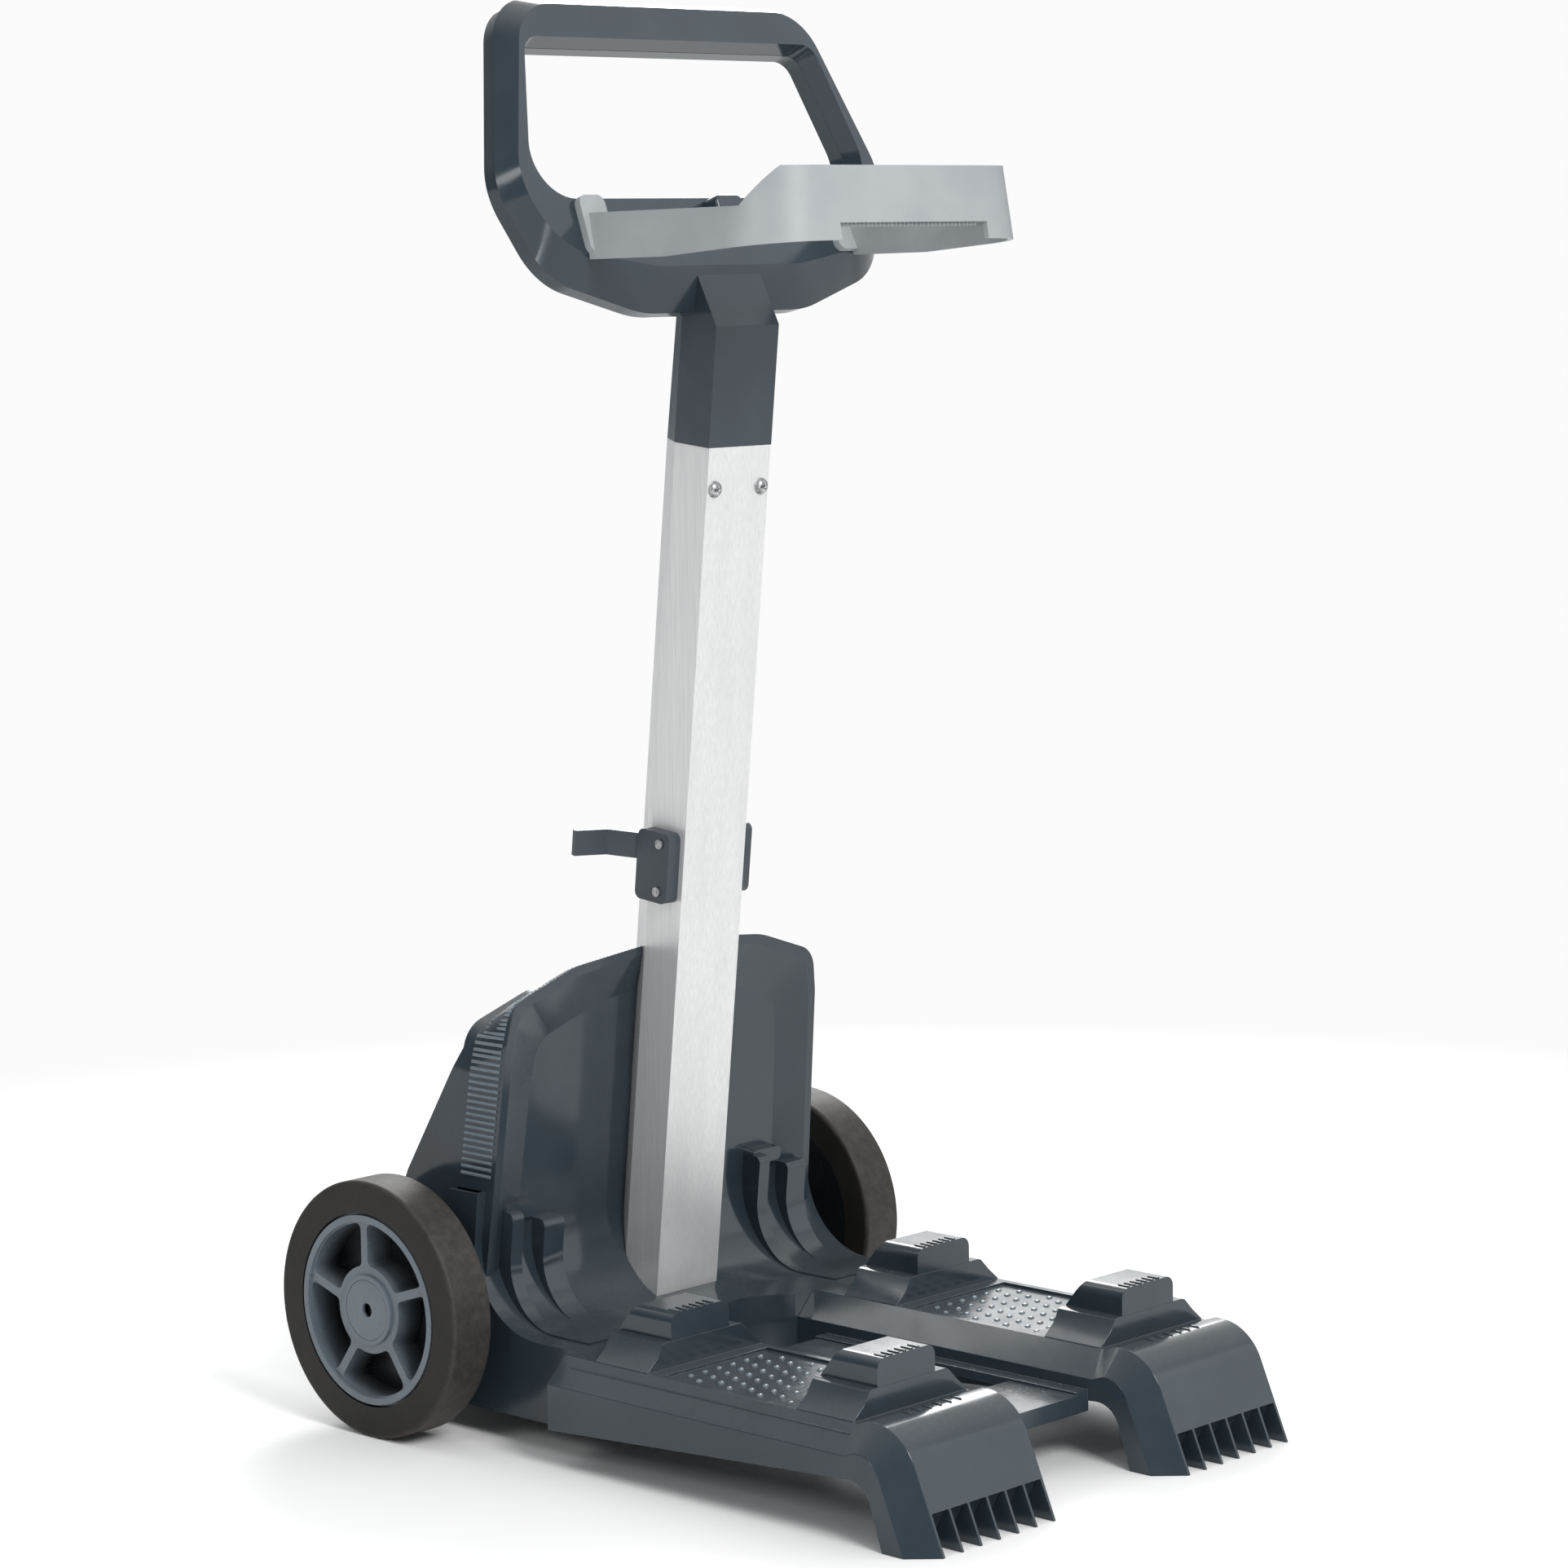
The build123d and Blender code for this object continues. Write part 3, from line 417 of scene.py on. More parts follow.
@dataclass(frozen=True)
class PlatedSteel:
    """Zinc-plated or plain turned steel.

    The eye gets a small bright metal with turning marks and slightly darker, duller patches.
    """

    name: str
    colour: str
    gloss: float
    dull: str = "#6c6a66"
    spots: Pattern = Pattern(2.5, 5, 0.65)
    turning: Pattern = Pattern(0.8, 3, 0.5, (1, 12, 1))

    def build(self) -> Material:
        """Make the material.

        Returns:
            The finished material.
        """
        surface = Surface.start(self.name)
        nodes, where = surface.nodes, surface.where
        spots = self.spots.lay(nodes, where)
        colour = nodes.blend(spots, 0.4, 0.7, linear(self.colour), linear(self.dull))
        rough = nodes.add("ShaderNodeMapRange",
                          {0: spots, 1: 0.3, 2: 0.7, 3: self.gloss, 4: self.gloss + 0.2})
        layers = [(self.turning.lay(nodes, where), 0.02, 0.4)]
        return surface.finish(colour, rough, layers, Metallic=1.0)


# ---------------------------------------------------------------- piece helpers
def dress(node: str, material: Material, bevel_mm: float = 0.0,
          angle: float = 30.0) -> Piece:
    """Give a CAD node its finish and softened edges.

    Args:
        node: The CAD node's name.
        material: Its finish.
        bevel_mm: Edge rounding in millimetres, 0 for none.
        angle: Edges sharper than this many degrees are rounded.

    Returns:
        The node's object.
    """
    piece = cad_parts[node]
    piece.data.materials.clear()
    piece.data.materials.append(material)
    for polygon in piece.data.polygons:
        polygon.use_smooth = True
    weld = piece.modifiers.new("weld", "WELD")
    weld.merge_threshold = WELD_DISTANCE
    if bevel_mm:
        rounding = piece.modifiers.new("rounding", "BEVEL")
        rounding.width = bevel_mm * MM
        rounding.segments = ROUNDING_STEPS
        rounding.limit_method = "ANGLE"
        rounding.angle_limit = math.radians(angle)
        rounding.harden_normals = False
        rounding.miter_outer = "MITER_ARC"
    smooth = piece.modifiers.new("normals", "WEIGHTED_NORMAL")
    smooth.keep_sharp = True
    smooth.weight = NORMAL_WEIGHT
    return piece


def surface_of(node: str) -> BVHTree:
    """Make a searchable copy of a CAD node's surface.

    Args:
        node: The CAD node's name.

    Returns:
        The surface as a tree that rays can be cast at.
    """
    copy = bmesh.new()
    copy.from_mesh(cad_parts[node].data)
    tree = BVHTree.FromBMesh(copy)
    copy.free()
    return tree


def islands_of(node: str) -> list[list[Vector]]:
    """Part a CAD node into its separate solids.

    Args:
        node: The CAD node's name.

    Returns:
        Each solid as its list of points, in order of their middles.
    """
    work = bmesh.new()
    work.from_mesh(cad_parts[node].data)
    bmesh.ops.remove_doubles(work, verts=work.verts, dist=WELD_DISTANCE)
    left = set(work.verts)
    found = []
    while left:
        stack = [left.pop()]
        group = []
        while stack:
            vert = stack.pop()
            group.append(vert.co.copy())
            for edge in vert.link_edges:
                other = edge.other_vert(vert)
                if other in left:
                    left.remove(other)
                    stack.append(other)
        found.append(group)
    work.free()
    return sorted(found, key=lambda g: tuple(sum(g, Vector()) / len(g)))


# ---------------------------------------------------------------- repeated details
class Shape(str, Enum):
    """What a repeated detail is made of."""

    BEAD = "round bead along each edge"
    DOME = "flattened dome at each point"
    BLOCK = "block at each point"
    SCREW = "cross-recessed screw head at each point"


@dataclass
class Repeater:
    """A Geometry Nodes tree that turns edges or points into one kind of small detail."""

    shape: Shape
    tree: bpy.types.NodeTree | None = None

    def build(self) -> "Repeater":
        """Make the node tree for the chosen shape.

        Returns:
            This repeater, ready to use.
        """
        self.tree = bpy.data.node_groups.new(self.shape.value, "GeometryNodeTree")
        for name, kind in (("Geometry", "Geometry"), ("Size", "Vector"), ("Turn", "Vector"),
                           ("Unevenness", "Float"), ("Seed", "Int"), ("Material", "Material")):
            self.tree.interface.new_socket(name=name, in_out="INPUT", socket_type="NodeSocket" + kind)
        self.tree.interface.new_socket(name="Geometry", in_out="OUTPUT", socket_type="NodeSocketGeometry")
        nodes = NodeTree(self.tree)
        given = nodes.add("NodeGroupInput").outputs
        made = self.beads(nodes, given) if self.shape is Shape.BEAD else self.instances(nodes, given)
        real = nodes.add("GeometryNodeRealizeInstances", {0: made})
        soft = nodes.add("GeometryNodeSetShadeSmooth", {0: real})
        coloured = nodes.add("GeometryNodeSetMaterial", {0: soft, "Material": given["Material"]})
        nodes.add("NodeGroupOutput", {0: coloured})
        return self

    def beads(self, nodes: NodeTree, given: bpy.types.bpy_prop_collection) -> Node:
        """Sweep a round section along every edge.

        Args:
            nodes: The tree being built.
            given: The tree's inputs.

        Returns:
            The node that gives the beads.
        """
        width = nodes.add("ShaderNodeSeparateXYZ", {0: given["Size"]})
        path = nodes.add("GeometryNodeMeshToCurve", {0: given["Geometry"]})
        ring = nodes.add("GeometryNodeCurvePrimitiveCircle", {"Resolution": 8, "Radius": width})
        return nodes.add("GeometryNodeCurveToMesh",
                         {"Curve": path, "Profile Curve": ring, "Fill Caps": True})

    def instances(self, nodes: NodeTree, given: bpy.types.bpy_prop_collection) -> Node:
        """Put one detail at every point, each a little different in size.

        Args:
            nodes: The tree being built.
            given: The tree's inputs.

        Returns:
            The node that gives the details.
        """
        if self.shape is Shape.DOME:
            one = nodes.add("GeometryNodeMeshUVSphere", {"Segments": 16, "Rings": 8, "Radius": 1.0})
        elif self.shape is Shape.BLOCK:
            one = nodes.add("GeometryNodeMeshCube", {"Size": (1.0, 1.0, 1.0)})
        else:
            one = self.screw_head(nodes)
        jitter = nodes.add("FunctionNodeRandomValue",
                           {2: 0.0, 3: given["Unevenness"], "Seed": given["Seed"]}, data_type="FLOAT")
        keep = nodes.add("ShaderNodeMath", {0: 1.0, 1: jitter.outputs[1]}, operation="SUBTRACT")
        scale = nodes.add("ShaderNodeVectorMath", {0: given["Size"], "Scale": keep}, operation="SCALE")
        turn = nodes.add("FunctionNodeEulerToRotation", {0: given["Turn"]})
        return nodes.add("GeometryNodeInstanceOnPoints", {
            "Points": given["Geometry"], "Instance": one, "Rotation": turn, "Scale": scale})

    def screw_head(self, nodes: NodeTree) -> Node:
        """Make a domed head of unit radius and height with a cross cut into its top.

        Args:
            nodes: The tree being built.

        Returns:
            The node that gives the head.
        """
        head = nodes.add("GeometryNodeMeshUVSphere", {"Segments": 40, "Rings": 24, "Radius": 1.0})
        for size in ((1.15, 0.26, 0.9), (0.26, 1.15, 0.9)):
            bar = nodes.add("GeometryNodeMeshCube", {"Size": size})
            raised = nodes.add("GeometryNodeTransform", {0: bar, "Translation": (0.0, 0.0, 1.0)})
            head = nodes.add("GeometryNodeMeshBoolean", {0: head, 1: raised}, operation="DIFFERENCE")
        return head

    def apply(self, name: str, verts: list[Vector], size_mm: Triple, material: Material, slot: Slot,
              edges: list[tuple[int, int]] | None = None, turn: Triple = (0, 0, 0),
              uneven: float = 0.0) -> Piece:
        """Make one piece of repeated details that rides on the chassis.

        Args:
            name: The piece's name.
            verts: Where the details go, or the ends of the beads' edges.
            size_mm: Radii or sizes of one detail along its own axes.
            material: Its finish.
            slot: The record's slot of that finish. Not used.
            edges: Pairs of vertex numbers for beads.
            turn: Rotation of every detail, in radians.
            uneven: Largest shrink of a single detail, as a share.

        Returns:
            The finished piece as a plain mesh object.
        """
        mesh = bpy.data.meshes.new(name)
        mesh.from_pydata([tuple(v) for v in verts], edges or [], [])
        piece = bpy.data.objects.new(name, mesh)
        bpy.context.scene.collection.objects.link(piece)
        modifier = piece.modifiers.new("details", "NODES")
        modifier.node_group = self.tree
        values = {"Size": tuple(v * MM for v in size_mm), "Turn": tuple(turn), "Unevenness": uneven,
                  "Seed": SEED, "Material": material}
        for socket in self.tree.interface.items_tree:
            if socket.in_out == "INPUT" and socket.name in values:
                modifier[socket.identifier] = values[socket.name]
        bpy.context.view_layer.update()
        graph = bpy.context.evaluated_depsgraph_get()
        made = bpy.data.meshes.new_from_object(piece.evaluated_get(graph))
        piece.modifiers.remove(modifier)
        piece.data = made
        bpy.data.meshes.remove(mesh)
        made.name = name
        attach(piece, CHASSIS)
        return piece


@dataclass
class Details:
    """The repeaters, each made once, when it is first asked for."""

    makers: dict[Shape, Repeater] = field(default_factory=dict)

    def __getitem__(self, shape: Shape) -> Repeater:
        """Give the repeater for a shape.

        Args:
            shape: The kind of detail.

        Returns:
            Its repeater.
        """
        if shape not in self.makers:
            self.makers[shape] = Repeater(shape).build()
        return self.makers[shape]


@dataclass
class Finishes:
    """Every material in the scene, made once.

    Attributes:
        window_shade_depths: Depths inside the hub's outer face, in metres, at which the painted
        shade in its windows is full and at which the colour is its own again.
    """

    made: dict[Slot, Material] = field(default_factory=dict)
    # Paler copy of the base plastic for its ribs and dimples: a painted highlight.
    raised: Material | None = None
    window_shade_depths: tuple[float, float] = (0.023, 0.005)

    def build(self) -> "Finishes":
        """Make the materials.

        Returns:
            These finishes, ready to use.
        """
        axle_low, axle_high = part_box("axle")
        middle = tuple((axle_low + axle_high) / 2)
        _, hub_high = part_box("hub_right")
        painted_shade_span = tuple(hub_high.x - inward for inward in self.window_shade_depths)
        finishes = {
            Slot.BASE: Moulding("blue-grey polypropylene", "#29333a", "#2f3940", 0.13, 0.5, 0.05),
            # The hub's windows get painted shade inside, darker towards the middle.
            Slot.HUB: Moulding("grey wheel nylon", "#59636b", "#626c74", 0.28, 0.4, 0.2, 0.15,
                               painted_shade_span=painted_shade_span),
            Slot.HOLDER: Moulding("light grey ABS", "#9b9fa1", "#909497", 0.42, 0.5, 0.3, 0.12, 0.05),
            Slot.HOOK: Moulding("dark nylon", "#2c343b", "#343d44", 0.32, 0.4, 0.25, 0.1),
            Slot.INNER: Moulding("black nylon", "#1d1f21", "#25272a", 0.45, 0.4, 0.3, 0.1),
            Slot.MAST: DrawnAluminium(),
            Slot.TYRE: Rubber("tyre rubber", "#1d1b19", "#262321", middle),
            Slot.SCREW: PlatedSteel("zinc-plated steel", "#b9bbbd", 0.28),
            Slot.AXLE: PlatedSteel("turned steel", "#a9abad", 0.22),
        }
        self.made = {slot: finish.build() for slot, finish in finishes.items()}
        # The ribs and dimples are the base's own plastic, painted paler as a painted highlight.
        self.raised = Moulding("polypropylene with painted highlight", "#5d6971", "#67737b", 0.16, 0.5, 0.04,
                               0.1, 0.05).build()
        return self

    def __getitem__(self, slot: Slot) -> Material:
        """The material of a slot."""
        return self.made[slot]


@dataclass
class Base:
    """The moulded base: panel, deck, rear cover, forks and rest pads.

    Lengths are in metres where the name doesn't end in _mm.

    Attributes:
        rib_edges: Depths behind the mast's front face between which a rib lies.
        band_height: Height of the point that the ribs are spread round.
        rib_from: Direction of the search's start, in degrees from the right.
        rib_sweep: How far the search goes round, in degrees.
        rib_steps: Steps of the search.
        rib_low: No rib starts below this height.
        rib_change: Ribs are coarse below this height and fine above it.
        fine_share: Length of a fine rib, as a share of a coarse one.
        coarse_mm: Pitch of the coarse ribs.
        fine_mm: Pitch of the fine ribs.
        mast_room: Half the width that is left free for the mast.
        break_gap: Two points farther apart than this don't belong to one run.
        pad_shift: How far to the right of a front pad's middle its details are centred.
        dimple_rows: Rows of dimples on one side.
        dimple_columns: Dimples in the longer rows.
        dimple_pitch: Spacing along a row.
        dimple_edge: Distance of the first and last row from the pads.
        deck_drop: Height of the pads' lower faces over the dimples' middles.
        line_inset: Distance of a fork's line from the fork frame's side.
        line_start: Distance of its first point from the fork frame's rear.
        line_pitch: Spacing of its points.
        line_points: How many points it may have.
        grips: Marks on each foot.
        grip_pitch: Spacing of the marks.
        grip_reach: How far in front of the front pad the marks lie.
        rib_mm: Size of a rib, the first value its radius.
        dimple_mm: Half sizes of a dimple.
        dimple_turn: Turn of the dimples, in degrees.
        dimple_uneven: Largest shrink of a dimple, as a share.
        line_mm: Size of a fork's line, the first value its radius.
        grip_mm: Half sizes of a mark.
        band_reach: Distance from the band's middle where the search for its surface starts.
        ray_height: Height from which the surface below is searched.
    """

    finishes: Finishes
    details: Details
    rib_edges: tuple[float, float] = (0.0385, 0.0665)
    band_height: float = 0.2
    rib_from: int = -30
    rib_sweep: int = 240
    rib_steps: int = 720
    rib_low: float = 0.168
    rib_change: float = 0.262
    fine_share: float = 0.8
    coarse_mm: float = 4.4
    fine_mm: float = 3.2
    mast_room: float = 0.031
    break_gap: float = 0.02
    pad_shift: float = 0.004
    dimple_rows: int = 8
    dimple_columns: int = 7
    dimple_pitch: float = 0.0125
    dimple_edge: float = 0.018
    deck_drop: float = 0.019
    line_inset: float = 0.0105
    line_start: float = 0.012
    line_pitch: float = 0.010
    line_points: int = 25
    grips: int = 6
    grip_pitch: float = 0.009
    grip_reach: float = 0.0165
    rib_mm: Triple = (1.25, 1, 1)
    dimple_mm: Triple = (3.6, 2.3, 1.3)
    dimple_turn: float = 35
    dimple_uneven: float = 0.12
    line_mm: Triple = (0.7, 1, 1)
    grip_mm: Triple = (1.3, 4.5, 0.9)
    band_reach: float = 0.4
    ray_height: float = 0.3

    def dress(self) -> list[Piece]:
        """Give the base's mouldings their skin and rounded edges.

        Returns:
            The dressed pieces.
        """
        plastic = self.finishes[Slot.BASE]
        pads = [dress(f"rest_pad_{where}", plastic, 0.7)
                for where in ("front_left", "front_right", "rear_left", "rear_right")]
        return [dress("base_front", plastic, 1.2, angle=12.0),
                dress("base_rear", plastic, 2.0),
                dress("fork_frame", plastic, 1.5, angle=20.0), *pads]

    def build(self) -> list[Piece]:
        """Add the base's small raised details.

        Returns:
            The pieces made.
        """
        return [self.band_ribs(), self.deck_dimples(), self.fork_lines(), self.foot_grips()]

    def band_point(self, surface: BVHTree, depth: float, angle: float) -> Vector | None:
        """Find the band's outer surface at a depth, in a direction from its middle.

        Args:
            surface: The housing's surface.
            depth: Distance behind the mast's front face, in metres.
            angle: Direction in the band's plane, 0 to the right and a quarter turn straight up.

        Returns:
            The point on the surface, or None where there is none.
        """
        low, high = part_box("mast_tube")
        front_y = low.y + (high.z - self.band_height) * math.tan(MAST_LEAN)
        centre = Vector((0, front_y + depth / math.cos(MAST_LEAN), self.band_height))
        rise = math.sin(angle)
        way = Vector((math.cos(angle), -math.sin(MAST_LEAN) * rise, math.cos(MAST_LEAN) * rise))
        hit, _, _, _ = surface.ray_cast(centre + way * self.band_reach, -way)
        return hit

    def band_ribs(self) -> Piece:
        """Lay fine ribs across the band round the housing, coarse at the sides and fine on top.

        Returns:
            The ribs.
        """
        surface = surface_of("base_front")
        near, far = self.rib_edges
        front, back = [], []
        for step in range(self.rib_steps + 1):
            angle = math.radians(self.rib_from + step * self.rib_sweep / self.rib_steps)
            one, two = self.band_point(surface, near, angle), self.band_point(surface, far, angle)
            if one is None or two is None or one.z < self.rib_low or abs(one.x) < self.mast_room:
                continue
            front.append(one)
            back.append(two)
        verts, edges = [], []
        left = 0.0
        for index in range(1, len(front)):
            gap = (front[index] - front[index - 1]).length
            if gap > self.break_gap:
                left = 0.0
                continue
            left -= gap
            if left > 0:
                continue
            coarse = front[index].z < self.rib_change
            left += (self.coarse_mm if coarse else self.fine_mm) * MM
            end = back[index] if coarse else front[index].lerp(back[index], self.fine_share)
            edges.append((len(verts), len(verts) + 1))
            verts += [front[index], end]
        # The ribs carry the paler copy of the base plastic, a painted highlight.
        return self.details[Shape.BEAD].apply("band_ribs", verts, self.rib_mm, self.finishes.raised,
                                              Slot.BASE, edges)

    def deck_dimples(self) -> Piece:
        """Set rows of low raised dimples over the sunk deck between the rests.

        Returns:
            The dimples.
        """
        verts = []
        for side in ("left", "right"):
            front_low, front_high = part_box(f"rest_pad_front_{side}")
            rear_low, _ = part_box(f"rest_pad_rear_{side}")
            middle = (front_low.x + front_high.x) / 2 + self.pad_shift
            length = rear_low.y - front_high.y - 2 * self.dimple_edge
            for row in range(self.dimple_rows):
                y = front_high.y + self.dimple_edge + row * length / (self.dimple_rows - 1)
                columns = self.dimple_columns - row % 2
                for column in range(columns):
                    x = middle + (column - (columns - 1) / 2) * self.dimple_pitch
                    verts.append(Vector((x, y, front_low.z - self.deck_drop)))
        # The dimples carry the paler copy of the base plastic, a painted highlight.
        return self.details[Shape.DOME].apply(
            "deck_dimples", verts, self.dimple_mm, self.finishes.raised, Slot.BASE,
            turn=(0, 0, math.radians(self.dimple_turn)), uneven=self.dimple_uneven)

    def fork_lines(self) -> Piece:
        """Run a fine bead along each fork's outer slope, where the mouldings' halves meet.

        Returns:
            The beads.
        """
        _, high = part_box("fork_frame")
        surface = surface_of("fork_frame")
        verts, edges = [], []
        for side in (-1, 1):
            x = side * (high.x - self.line_inset)
            line = []
            for point in range(self.line_points):
                start = Vector((x, high.y - self.line_start - point * self.line_pitch, self.ray_height))
                hit, _, _, _ = surface.ray_cast(start, DOWN)
                if hit is not None:
                    line.append(hit)
            for one, two in zip(line, line[1:]):
                edges.append((len(verts), len(verts) + 1))
                verts += [one, two]
        return self.details[Shape.BEAD].apply("fork_lines", verts, self.line_mm,
                                              self.finishes[Slot.BASE], Slot.BASE, edges)

    def foot_grips(self) -> Piece:
        """Set short grip marks across each foot's crown.

        Returns:
            The grip marks.
        """
        surface = surface_of("fork_frame")
        verts = []
        for side in ("left", "right"):
            low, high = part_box(f"rest_pad_front_{side}")
            middle = (low.x + high.x) / 2 + self.pad_shift
            for mark in range(self.grips):
                x = middle + (mark - (self.grips - 1) / 2) * self.grip_pitch
                hit, _, _, _ = surface.ray_cast(Vector((x, low.y - self.grip_reach, self.ray_height)), DOWN)
                if hit is not None:
                    verts.append(hit)
        return self.details[Shape.DOME].apply("foot_grips", verts, self.grip_mm,
                                              self.finishes[Slot.BASE], Slot.BASE)


@dataclass
class Mast:
    """The aluminium mast with its bracket and cable hooks."""

    finishes: Finishes

    def dress(self) -> list[Piece]:
        """Give the mast and what is fixed on it their finishes.

        Returns:
            The dressed pieces.
        """
        tube = dress("mast_tube", self.finishes[Slot.MAST])
        for polygon in tube.data.polygons:
            polygon.use_smooth = False
        bracket = dress("mast_bracket", self.finishes[Slot.INNER], 0.8)
        hooks = [dress(f"cable_hook_{side}", self.finishes[Slot.HOOK], 0.8)
                 for side in ("left", "right")]
        return [tube, bracket, *hooks]


@dataclass
class Handle:
    """The loop handle's shells, its spigot, the box catch and the holder.

    Attributes:
        teeth: Teeth over the holder's notch.
        tooth_pitch: Their spacing, in metres.
        tooth_inset: Distance behind the holder's front where its edge is found, in metres.
        tooth_depth: Distance of their middles behind the holder's front, in metres.
        tooth_sink: How far their middles lie under the edge, in metres.
        notch_height: A height inside the notch, in metres.
        tooth_mm: Sizes of a tooth.
    """

    finishes: Finishes
    details: Details
    teeth: int = 34
    tooth_pitch: float = 0.0037
    tooth_inset: float = 0.012
    tooth_depth: float = 0.0075
    tooth_sink: float = 0.001
    notch_height: float = 0.70
    tooth_mm: Triple = (1.5, 5.0, 3.2)

    def dress(self) -> list[Piece]:
        """Give the handle's pieces their finishes.

        Returns:
            The dressed pieces.
        """
        plastic = self.finishes[Slot.BASE]
        return [dress("handle_front", plastic, 1.6, angle=15.0),
                dress("handle_rear", plastic, 2.0),
                dress("box_catch", plastic, 0.8),
                dress("handle_spigot", self.finishes[Slot.INNER]),
                dress("box_holder", self.finishes[Slot.HOLDER], 0.9)]

    def build(self) -> list[Piece]:
        """Set a row of fine teeth along the edge over the holder's front notch.

        Returns:
            The teeth, as one piece in a list.
        """
        surface = surface_of("box_holder")
        low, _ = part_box("box_holder")
        verts = []
        for tooth in range(self.teeth):
            x = (tooth - (self.teeth - 1) / 2) * self.tooth_pitch
            hit, _, _, _ = surface.ray_cast(Vector((x, low.y + self.tooth_inset, self.notch_height)), -DOWN)
            if hit is not None:
                verts.append(Vector((x, low.y + self.tooth_depth, hit.z - self.tooth_sink)))
        return [self.details[Shape.BLOCK].apply("holder_teeth", verts, self.tooth_mm,
                                                self.finishes[Slot.HOLDER], Slot.HOLDER)]


@dataclass
class Wheel:
    """One wheel: tyre, hub, bush and cap."""

    finishes: Finishes
    hand: str

    def dress(self) -> list[Piece]:
        """Give the wheel's pieces their finishes.

        Returns:
            The dressed pieces.
        """
        return [dress(f"tyre_{self.hand}", self.finishes[Slot.TYRE], 1.2),
                dress(f"hub_{self.hand}", self.finishes[Slot.HUB], 0.9),
                dress(f"hub_cap_{self.hand}", self.finishes[Slot.HUB], 0.7),
                dress(f"bush_{self.hand}", self.finishes[Slot.INNER])]


@dataclass
class Fixings:
    """Screws, axle, spacers and retaining rings.

    Attributes:
        flat: Points within this many metres of a head's top belong to its top face.
        rim_share: Points farther out than this share of the top's radius are the head's.
    """

    finishes: Finishes
    details: Details
    flat: float = 0.0001
    rim_share: float = 0.8

    def build(self) -> list[Piece]:
        """Put detailed heads in place of the plain ones that are seen.

        Returns:
            The detailed heads, one piece for each node.
        """
        back = Vector((0, math.cos(MAST_LEAN), math.sin(MAST_LEAN)))
        rear = Vector((0, math.cos(HANDLE_LEAN), -math.sin(HANDLE_LEAN)))
        facing = {"handle_mast_screws": -back, "handle_shell_screws": rear,
                  "holder_screws": -rear, "housing_screws": back}
        return [self.heads(node, way.normalized()) for node, way in facing.items()]

    def heads(self, node: str, way: Vector) -> Piece:
        """Make one node's detailed heads and hide its plain ones.

        Args:
            node: The CAD node.
            way: The direction that the heads face.

        Returns:
            The detailed heads.
        """
        verts, radius, height = [], 0.0, 0.0
        for island in islands_of(node):
            far = max(p.dot(way) for p in island)
            rim = [p for p in island if p.dot(way) > far - self.flat]
            top = sum(rim, Vector()) / len(rim)
            radius = max((p - top).length for p in rim)
            least = self.rim_share * radius
            heads = [p.dot(way) for p in island if ((p - top) - way * (p - top).dot(way)).length > least]
            height = far - min(heads)
            verts.append(top - way * height)
        turn = way.to_track_quat("Z", "X").to_euler()
        piece = self.details[Shape.SCREW].apply(
            node + "_heads", verts, (radius / MM, radius / MM, height / MM),
            self.finishes[Slot.SCREW], Slot.SCREW, turn=tuple(turn))
        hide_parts(node)
        return piece

    def dress(self) -> list[Piece]:
        """Give the metal pieces their finishes.

        Returns:
            The dressed pieces.
        """
        screws = ("mast_bracket_screws", "handle_mast_screws", "handle_shell_screws", "holder_screws",
                  "cable_hook_screws", "housing_screws", "fork_screws", "axle_retainers")
        slots = {node: Slot.SCREW for node in screws} | {"axle": Slot.AXLE, "axle_spacers": Slot.AXLE}
        return [dress(node, self.finishes[slot], 0.4) for node, slot in slots.items()]


@dataclass(frozen=True)
class Lamp:
    """One square soft light aimed at a point.

    Attributes:
        name: The light's name.
        place: Where it hangs, in metres.
        size: Its side in metres.
        power: Its power in watts.
        aim: The point it faces.
    """

    name: str
    place: Triple
    size: float
    power: float
    aim: Triple

    def build(self) -> None:
        """Hang the light and turn it to its aim."""
        lamp = bpy.data.lights.new(self.name, "AREA")
        lamp.size = self.size
        lamp.energy = self.power
        holder = bpy.data.objects.new(self.name, lamp)
        holder.location = self.place
        holder.rotation_euler = (Vector(self.aim) - Vector(self.place)).to_track_quat("-Z", "Y").to_euler()
        bpy.context.scene.collection.objects.link(holder)


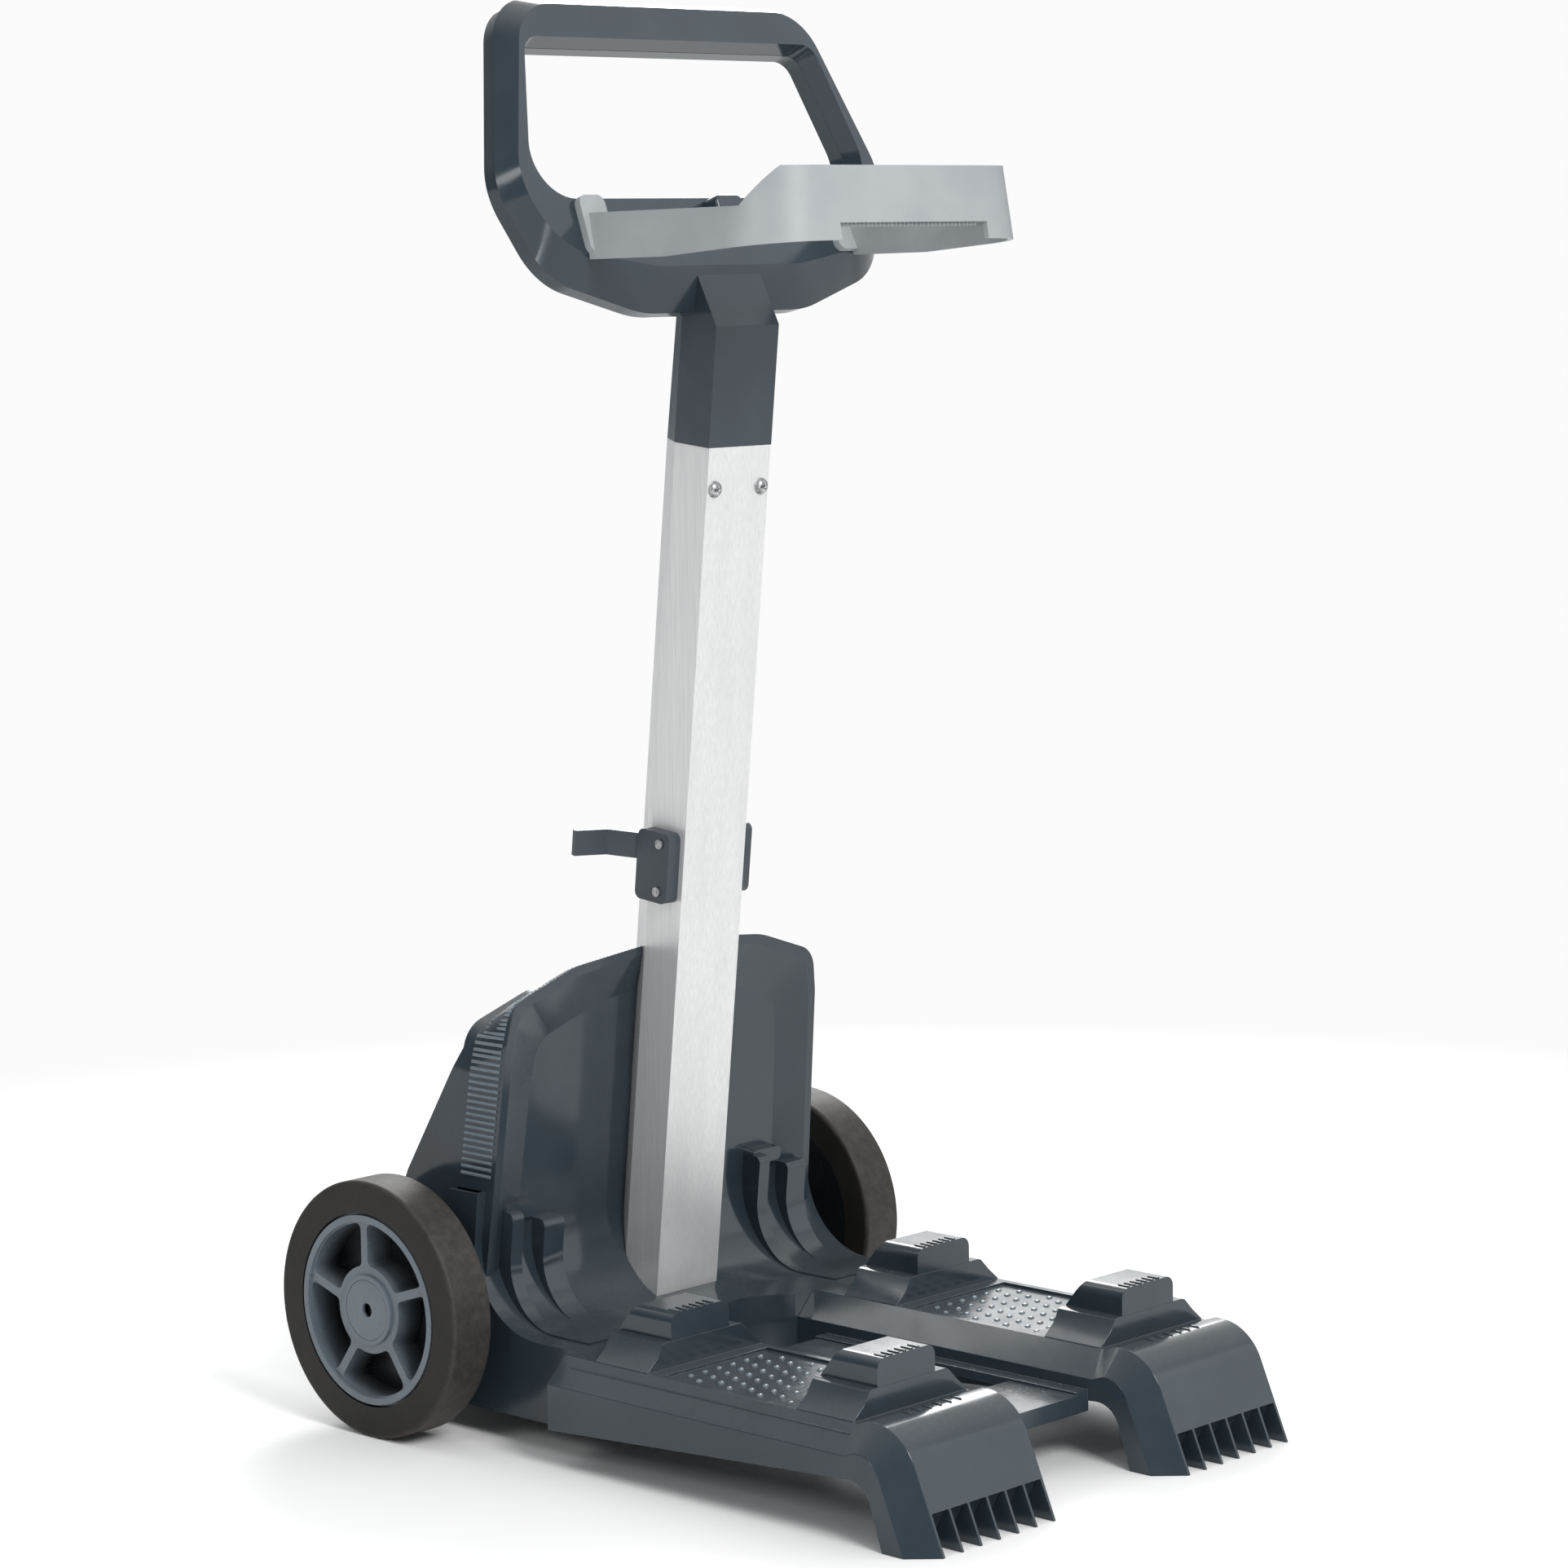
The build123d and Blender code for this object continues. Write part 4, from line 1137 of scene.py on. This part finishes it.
@dataclass
class Studio:
    """A pale floor, soft lights and the camera.

    Attributes:
        floor_size: The floor's side in metres.
        fade_start: Distance from the middle where the floor starts to fade, in metres.
        fade_end: Distance where it has become the air's colour, in metres.
        low_room: Colour from the horizon down, which gloss shows.
        high_room: Colour overhead.
        left_room: Colour on the far left.
        rise: Heights between which the room brightens, as sines of the elevation.
        leftward: Places across the room between which its left colour comes in.
        card: Middle and half width of the bright card's place across the room.
        card_top: Height of the card's upper edge, as the sine of its elevation.
        card_colour: The card's colour, brighter than white.
        eye: Where the camera stands, in metres.
        target: The point that it faces.
        lens: Its focal length in millimetres.
        roll: Its turn about its own axis, in degrees.
    """

    floor_colour: str = "#f4f4f3"
    floor_shade: str = "#efefee"
    floor_rough: float = 0.85
    floor_size: float = 60
    floor_tone: Pattern = Pattern(500, 3)
    air_colour: str = "#fbfbfb"
    fade_start: float = 0.55
    fade_end: float = 1.5
    low_room: str = "#7f858a"
    high_room: str = "#ffffff"
    left_room: str = "#60676d"
    rise: tuple[float, float] = (0.1, 0.7)
    leftward: tuple[float, float] = (-0.1, -0.8)
    card: tuple[float, float] = (0.68, 0.13)
    card_top: float = 0.55
    card_colour: tuple[float, float, float, float] = (1.35, 1.38, 1.4, 1.0)
    lamps: tuple[Lamp, ...] = (Lamp("key", (-0.7, -2.5, 2.2), 1.0, 62, (0, 0, 0.45)),
                               Lamp("fill", (-2.6, -0.2, 1.6), 0.9, 14, (0, 0, 0.35)),
                               Lamp("rim", (1.8, 1.6, 1.6), 1.2, 40, (0, 0, 0.4)),
                               Lamp("strip", (-1.2, -2.2, 0.25), 0.5, 5, (0, 0, 0.2)))
    eye: Triple = (-2.0466, -1.94285, 0.7690)
    target: Triple = (0.00018, 0.00731, 0.42241)
    lens: float = 100.95
    roll: float = -0.84

    def build(self) -> None:
        """Build the stage, the lights and the camera."""
        self.floor()
        self.air()
        for lamp in self.lamps:
            lamp.build()
        bpy.context.scene.view_settings.view_transform = "Standard"
        self.camera()

    def floor(self) -> None:
        """Lay a wide floor that fades into the white of the room with distance."""
        surface = Surface.start("pale floor")
        nodes, where, shader = surface.nodes, surface.where, surface.shader
        tone = nodes.add("ShaderNodeMix", {
            0: self.floor_tone.lay(nodes, where), 6: linear(self.floor_colour),
            7: linear(self.floor_shade)}, data_type="RGBA").outputs[2]
        nodes.join(tone, shader.inputs["Base Color"])
        shader.inputs["Roughness"].default_value = self.floor_rough
        away = nodes.add("ShaderNodeVectorMath", {0: where}, operation="LENGTH").outputs["Value"]
        fade = nodes.add("ShaderNodeMapRange", {0: away, 1: self.fade_start, 2: self.fade_end})
        white = nodes.add("ShaderNodeEmission", {0: linear(self.air_colour), 1: 1.0})
        both = nodes.add("ShaderNodeMixShader", {0: fade, 1: shader, 2: white})
        nodes.join(both, nodes.tree.nodes["Material Output"].inputs[0])
        bpy.ops.mesh.primitive_plane_add(size=self.floor_size, location=(0, 0, 0))
        floor = bpy.context.object
        floor.name = "floor"
        floor.data.materials.append(surface.material)
        floor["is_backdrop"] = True

    def air(self) -> None:
        """Surround the object with a room that is bright overhead, dim low and on the left.

        A bright card on the right, in front and behind alike, puts highlights on glossy faces.
        """
        world = bpy.data.worlds.new("studio_air")
        bpy.context.scene.world = world
        world.use_nodes = True
        nodes = NodeTree(world.node_tree)
        background = world.node_tree.nodes["Background"]
        way = nodes.add("ShaderNodeTexCoord").outputs["Generated"]
        across, _, up = nodes.add("ShaderNodeSeparateXYZ", {0: way}).outputs
        room = nodes.blend(up, *self.rise, linear(self.low_room), linear(self.high_room))
        room = nodes.blend(across, *self.leftward, room, linear(self.left_room))
        middle, half = self.card
        card = nodes.add("ShaderNodeMath", {0: across, 1: middle, 2: half}, operation="COMPARE")
        low = nodes.add("ShaderNodeMath", {0: up, 1: self.card_top}, operation="LESS_THAN")
        card = nodes.add("ShaderNodeMath", {0: card, 1: low}, operation="MULTIPLY")
        seen = nodes.add("ShaderNodeLightPath").outputs["Is Camera Ray"]
        for share, colour in ((card, self.card_colour), (seen, linear(self.air_colour))):
            room = nodes.add("ShaderNodeMix", {0: share, 6: room, 7: colour}, data_type="RGBA").outputs[2]
        nodes.join(room, background.inputs[0])
        background.inputs[1].default_value = 1.0

    def camera(self) -> None:
        """Set the camera on the left of the front, a little above the middle."""
        sight = bpy.data.cameras.new("camera")
        sight.lens = self.lens
        sight.sensor_width = 36.0
        holder = bpy.data.objects.new("camera", sight)
        target, eye = Vector(self.target), Vector(self.eye)
        aim = (target - eye).to_track_quat("-Z", "Y").to_matrix().to_4x4()
        roll = Matrix.Rotation(math.radians(self.roll), 4, "Z")
        holder.matrix_world = Matrix.Translation(eye) @ aim @ roll
        bpy.context.scene.collection.objects.link(holder)
        bpy.context.scene.camera = holder


def main() -> None:
    """Build the scene piece by piece and report each piece."""
    logging.basicConfig(level=logging.INFO, format="%(name)s: %(message)s")
    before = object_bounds()
    finishes = Finishes().build()
    details = Details()
    base, handle, fixings = Base(finishes, details), Handle(finishes, details), Fixings(finishes, details)
    wheels = [Wheel(finishes, hand) for hand in ("left", "right")]
    for part in (base, Mast(finishes), handle, fixings, *wheels):
        for piece in part.dress():
            LOG.info("dressed %s", piece.name)
    for part in (base, handle, fixings):
        for piece in part.build():
            LOG.info("made %s", piece.name)
    Studio().build()
    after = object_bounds()
    sizes = [[[float(value) for value in corner] for corner in ends] for ends in (before, after)]
    {"cad": sizes[0], "visual": sizes[1]}


if __name__ == "__main__":
    main()
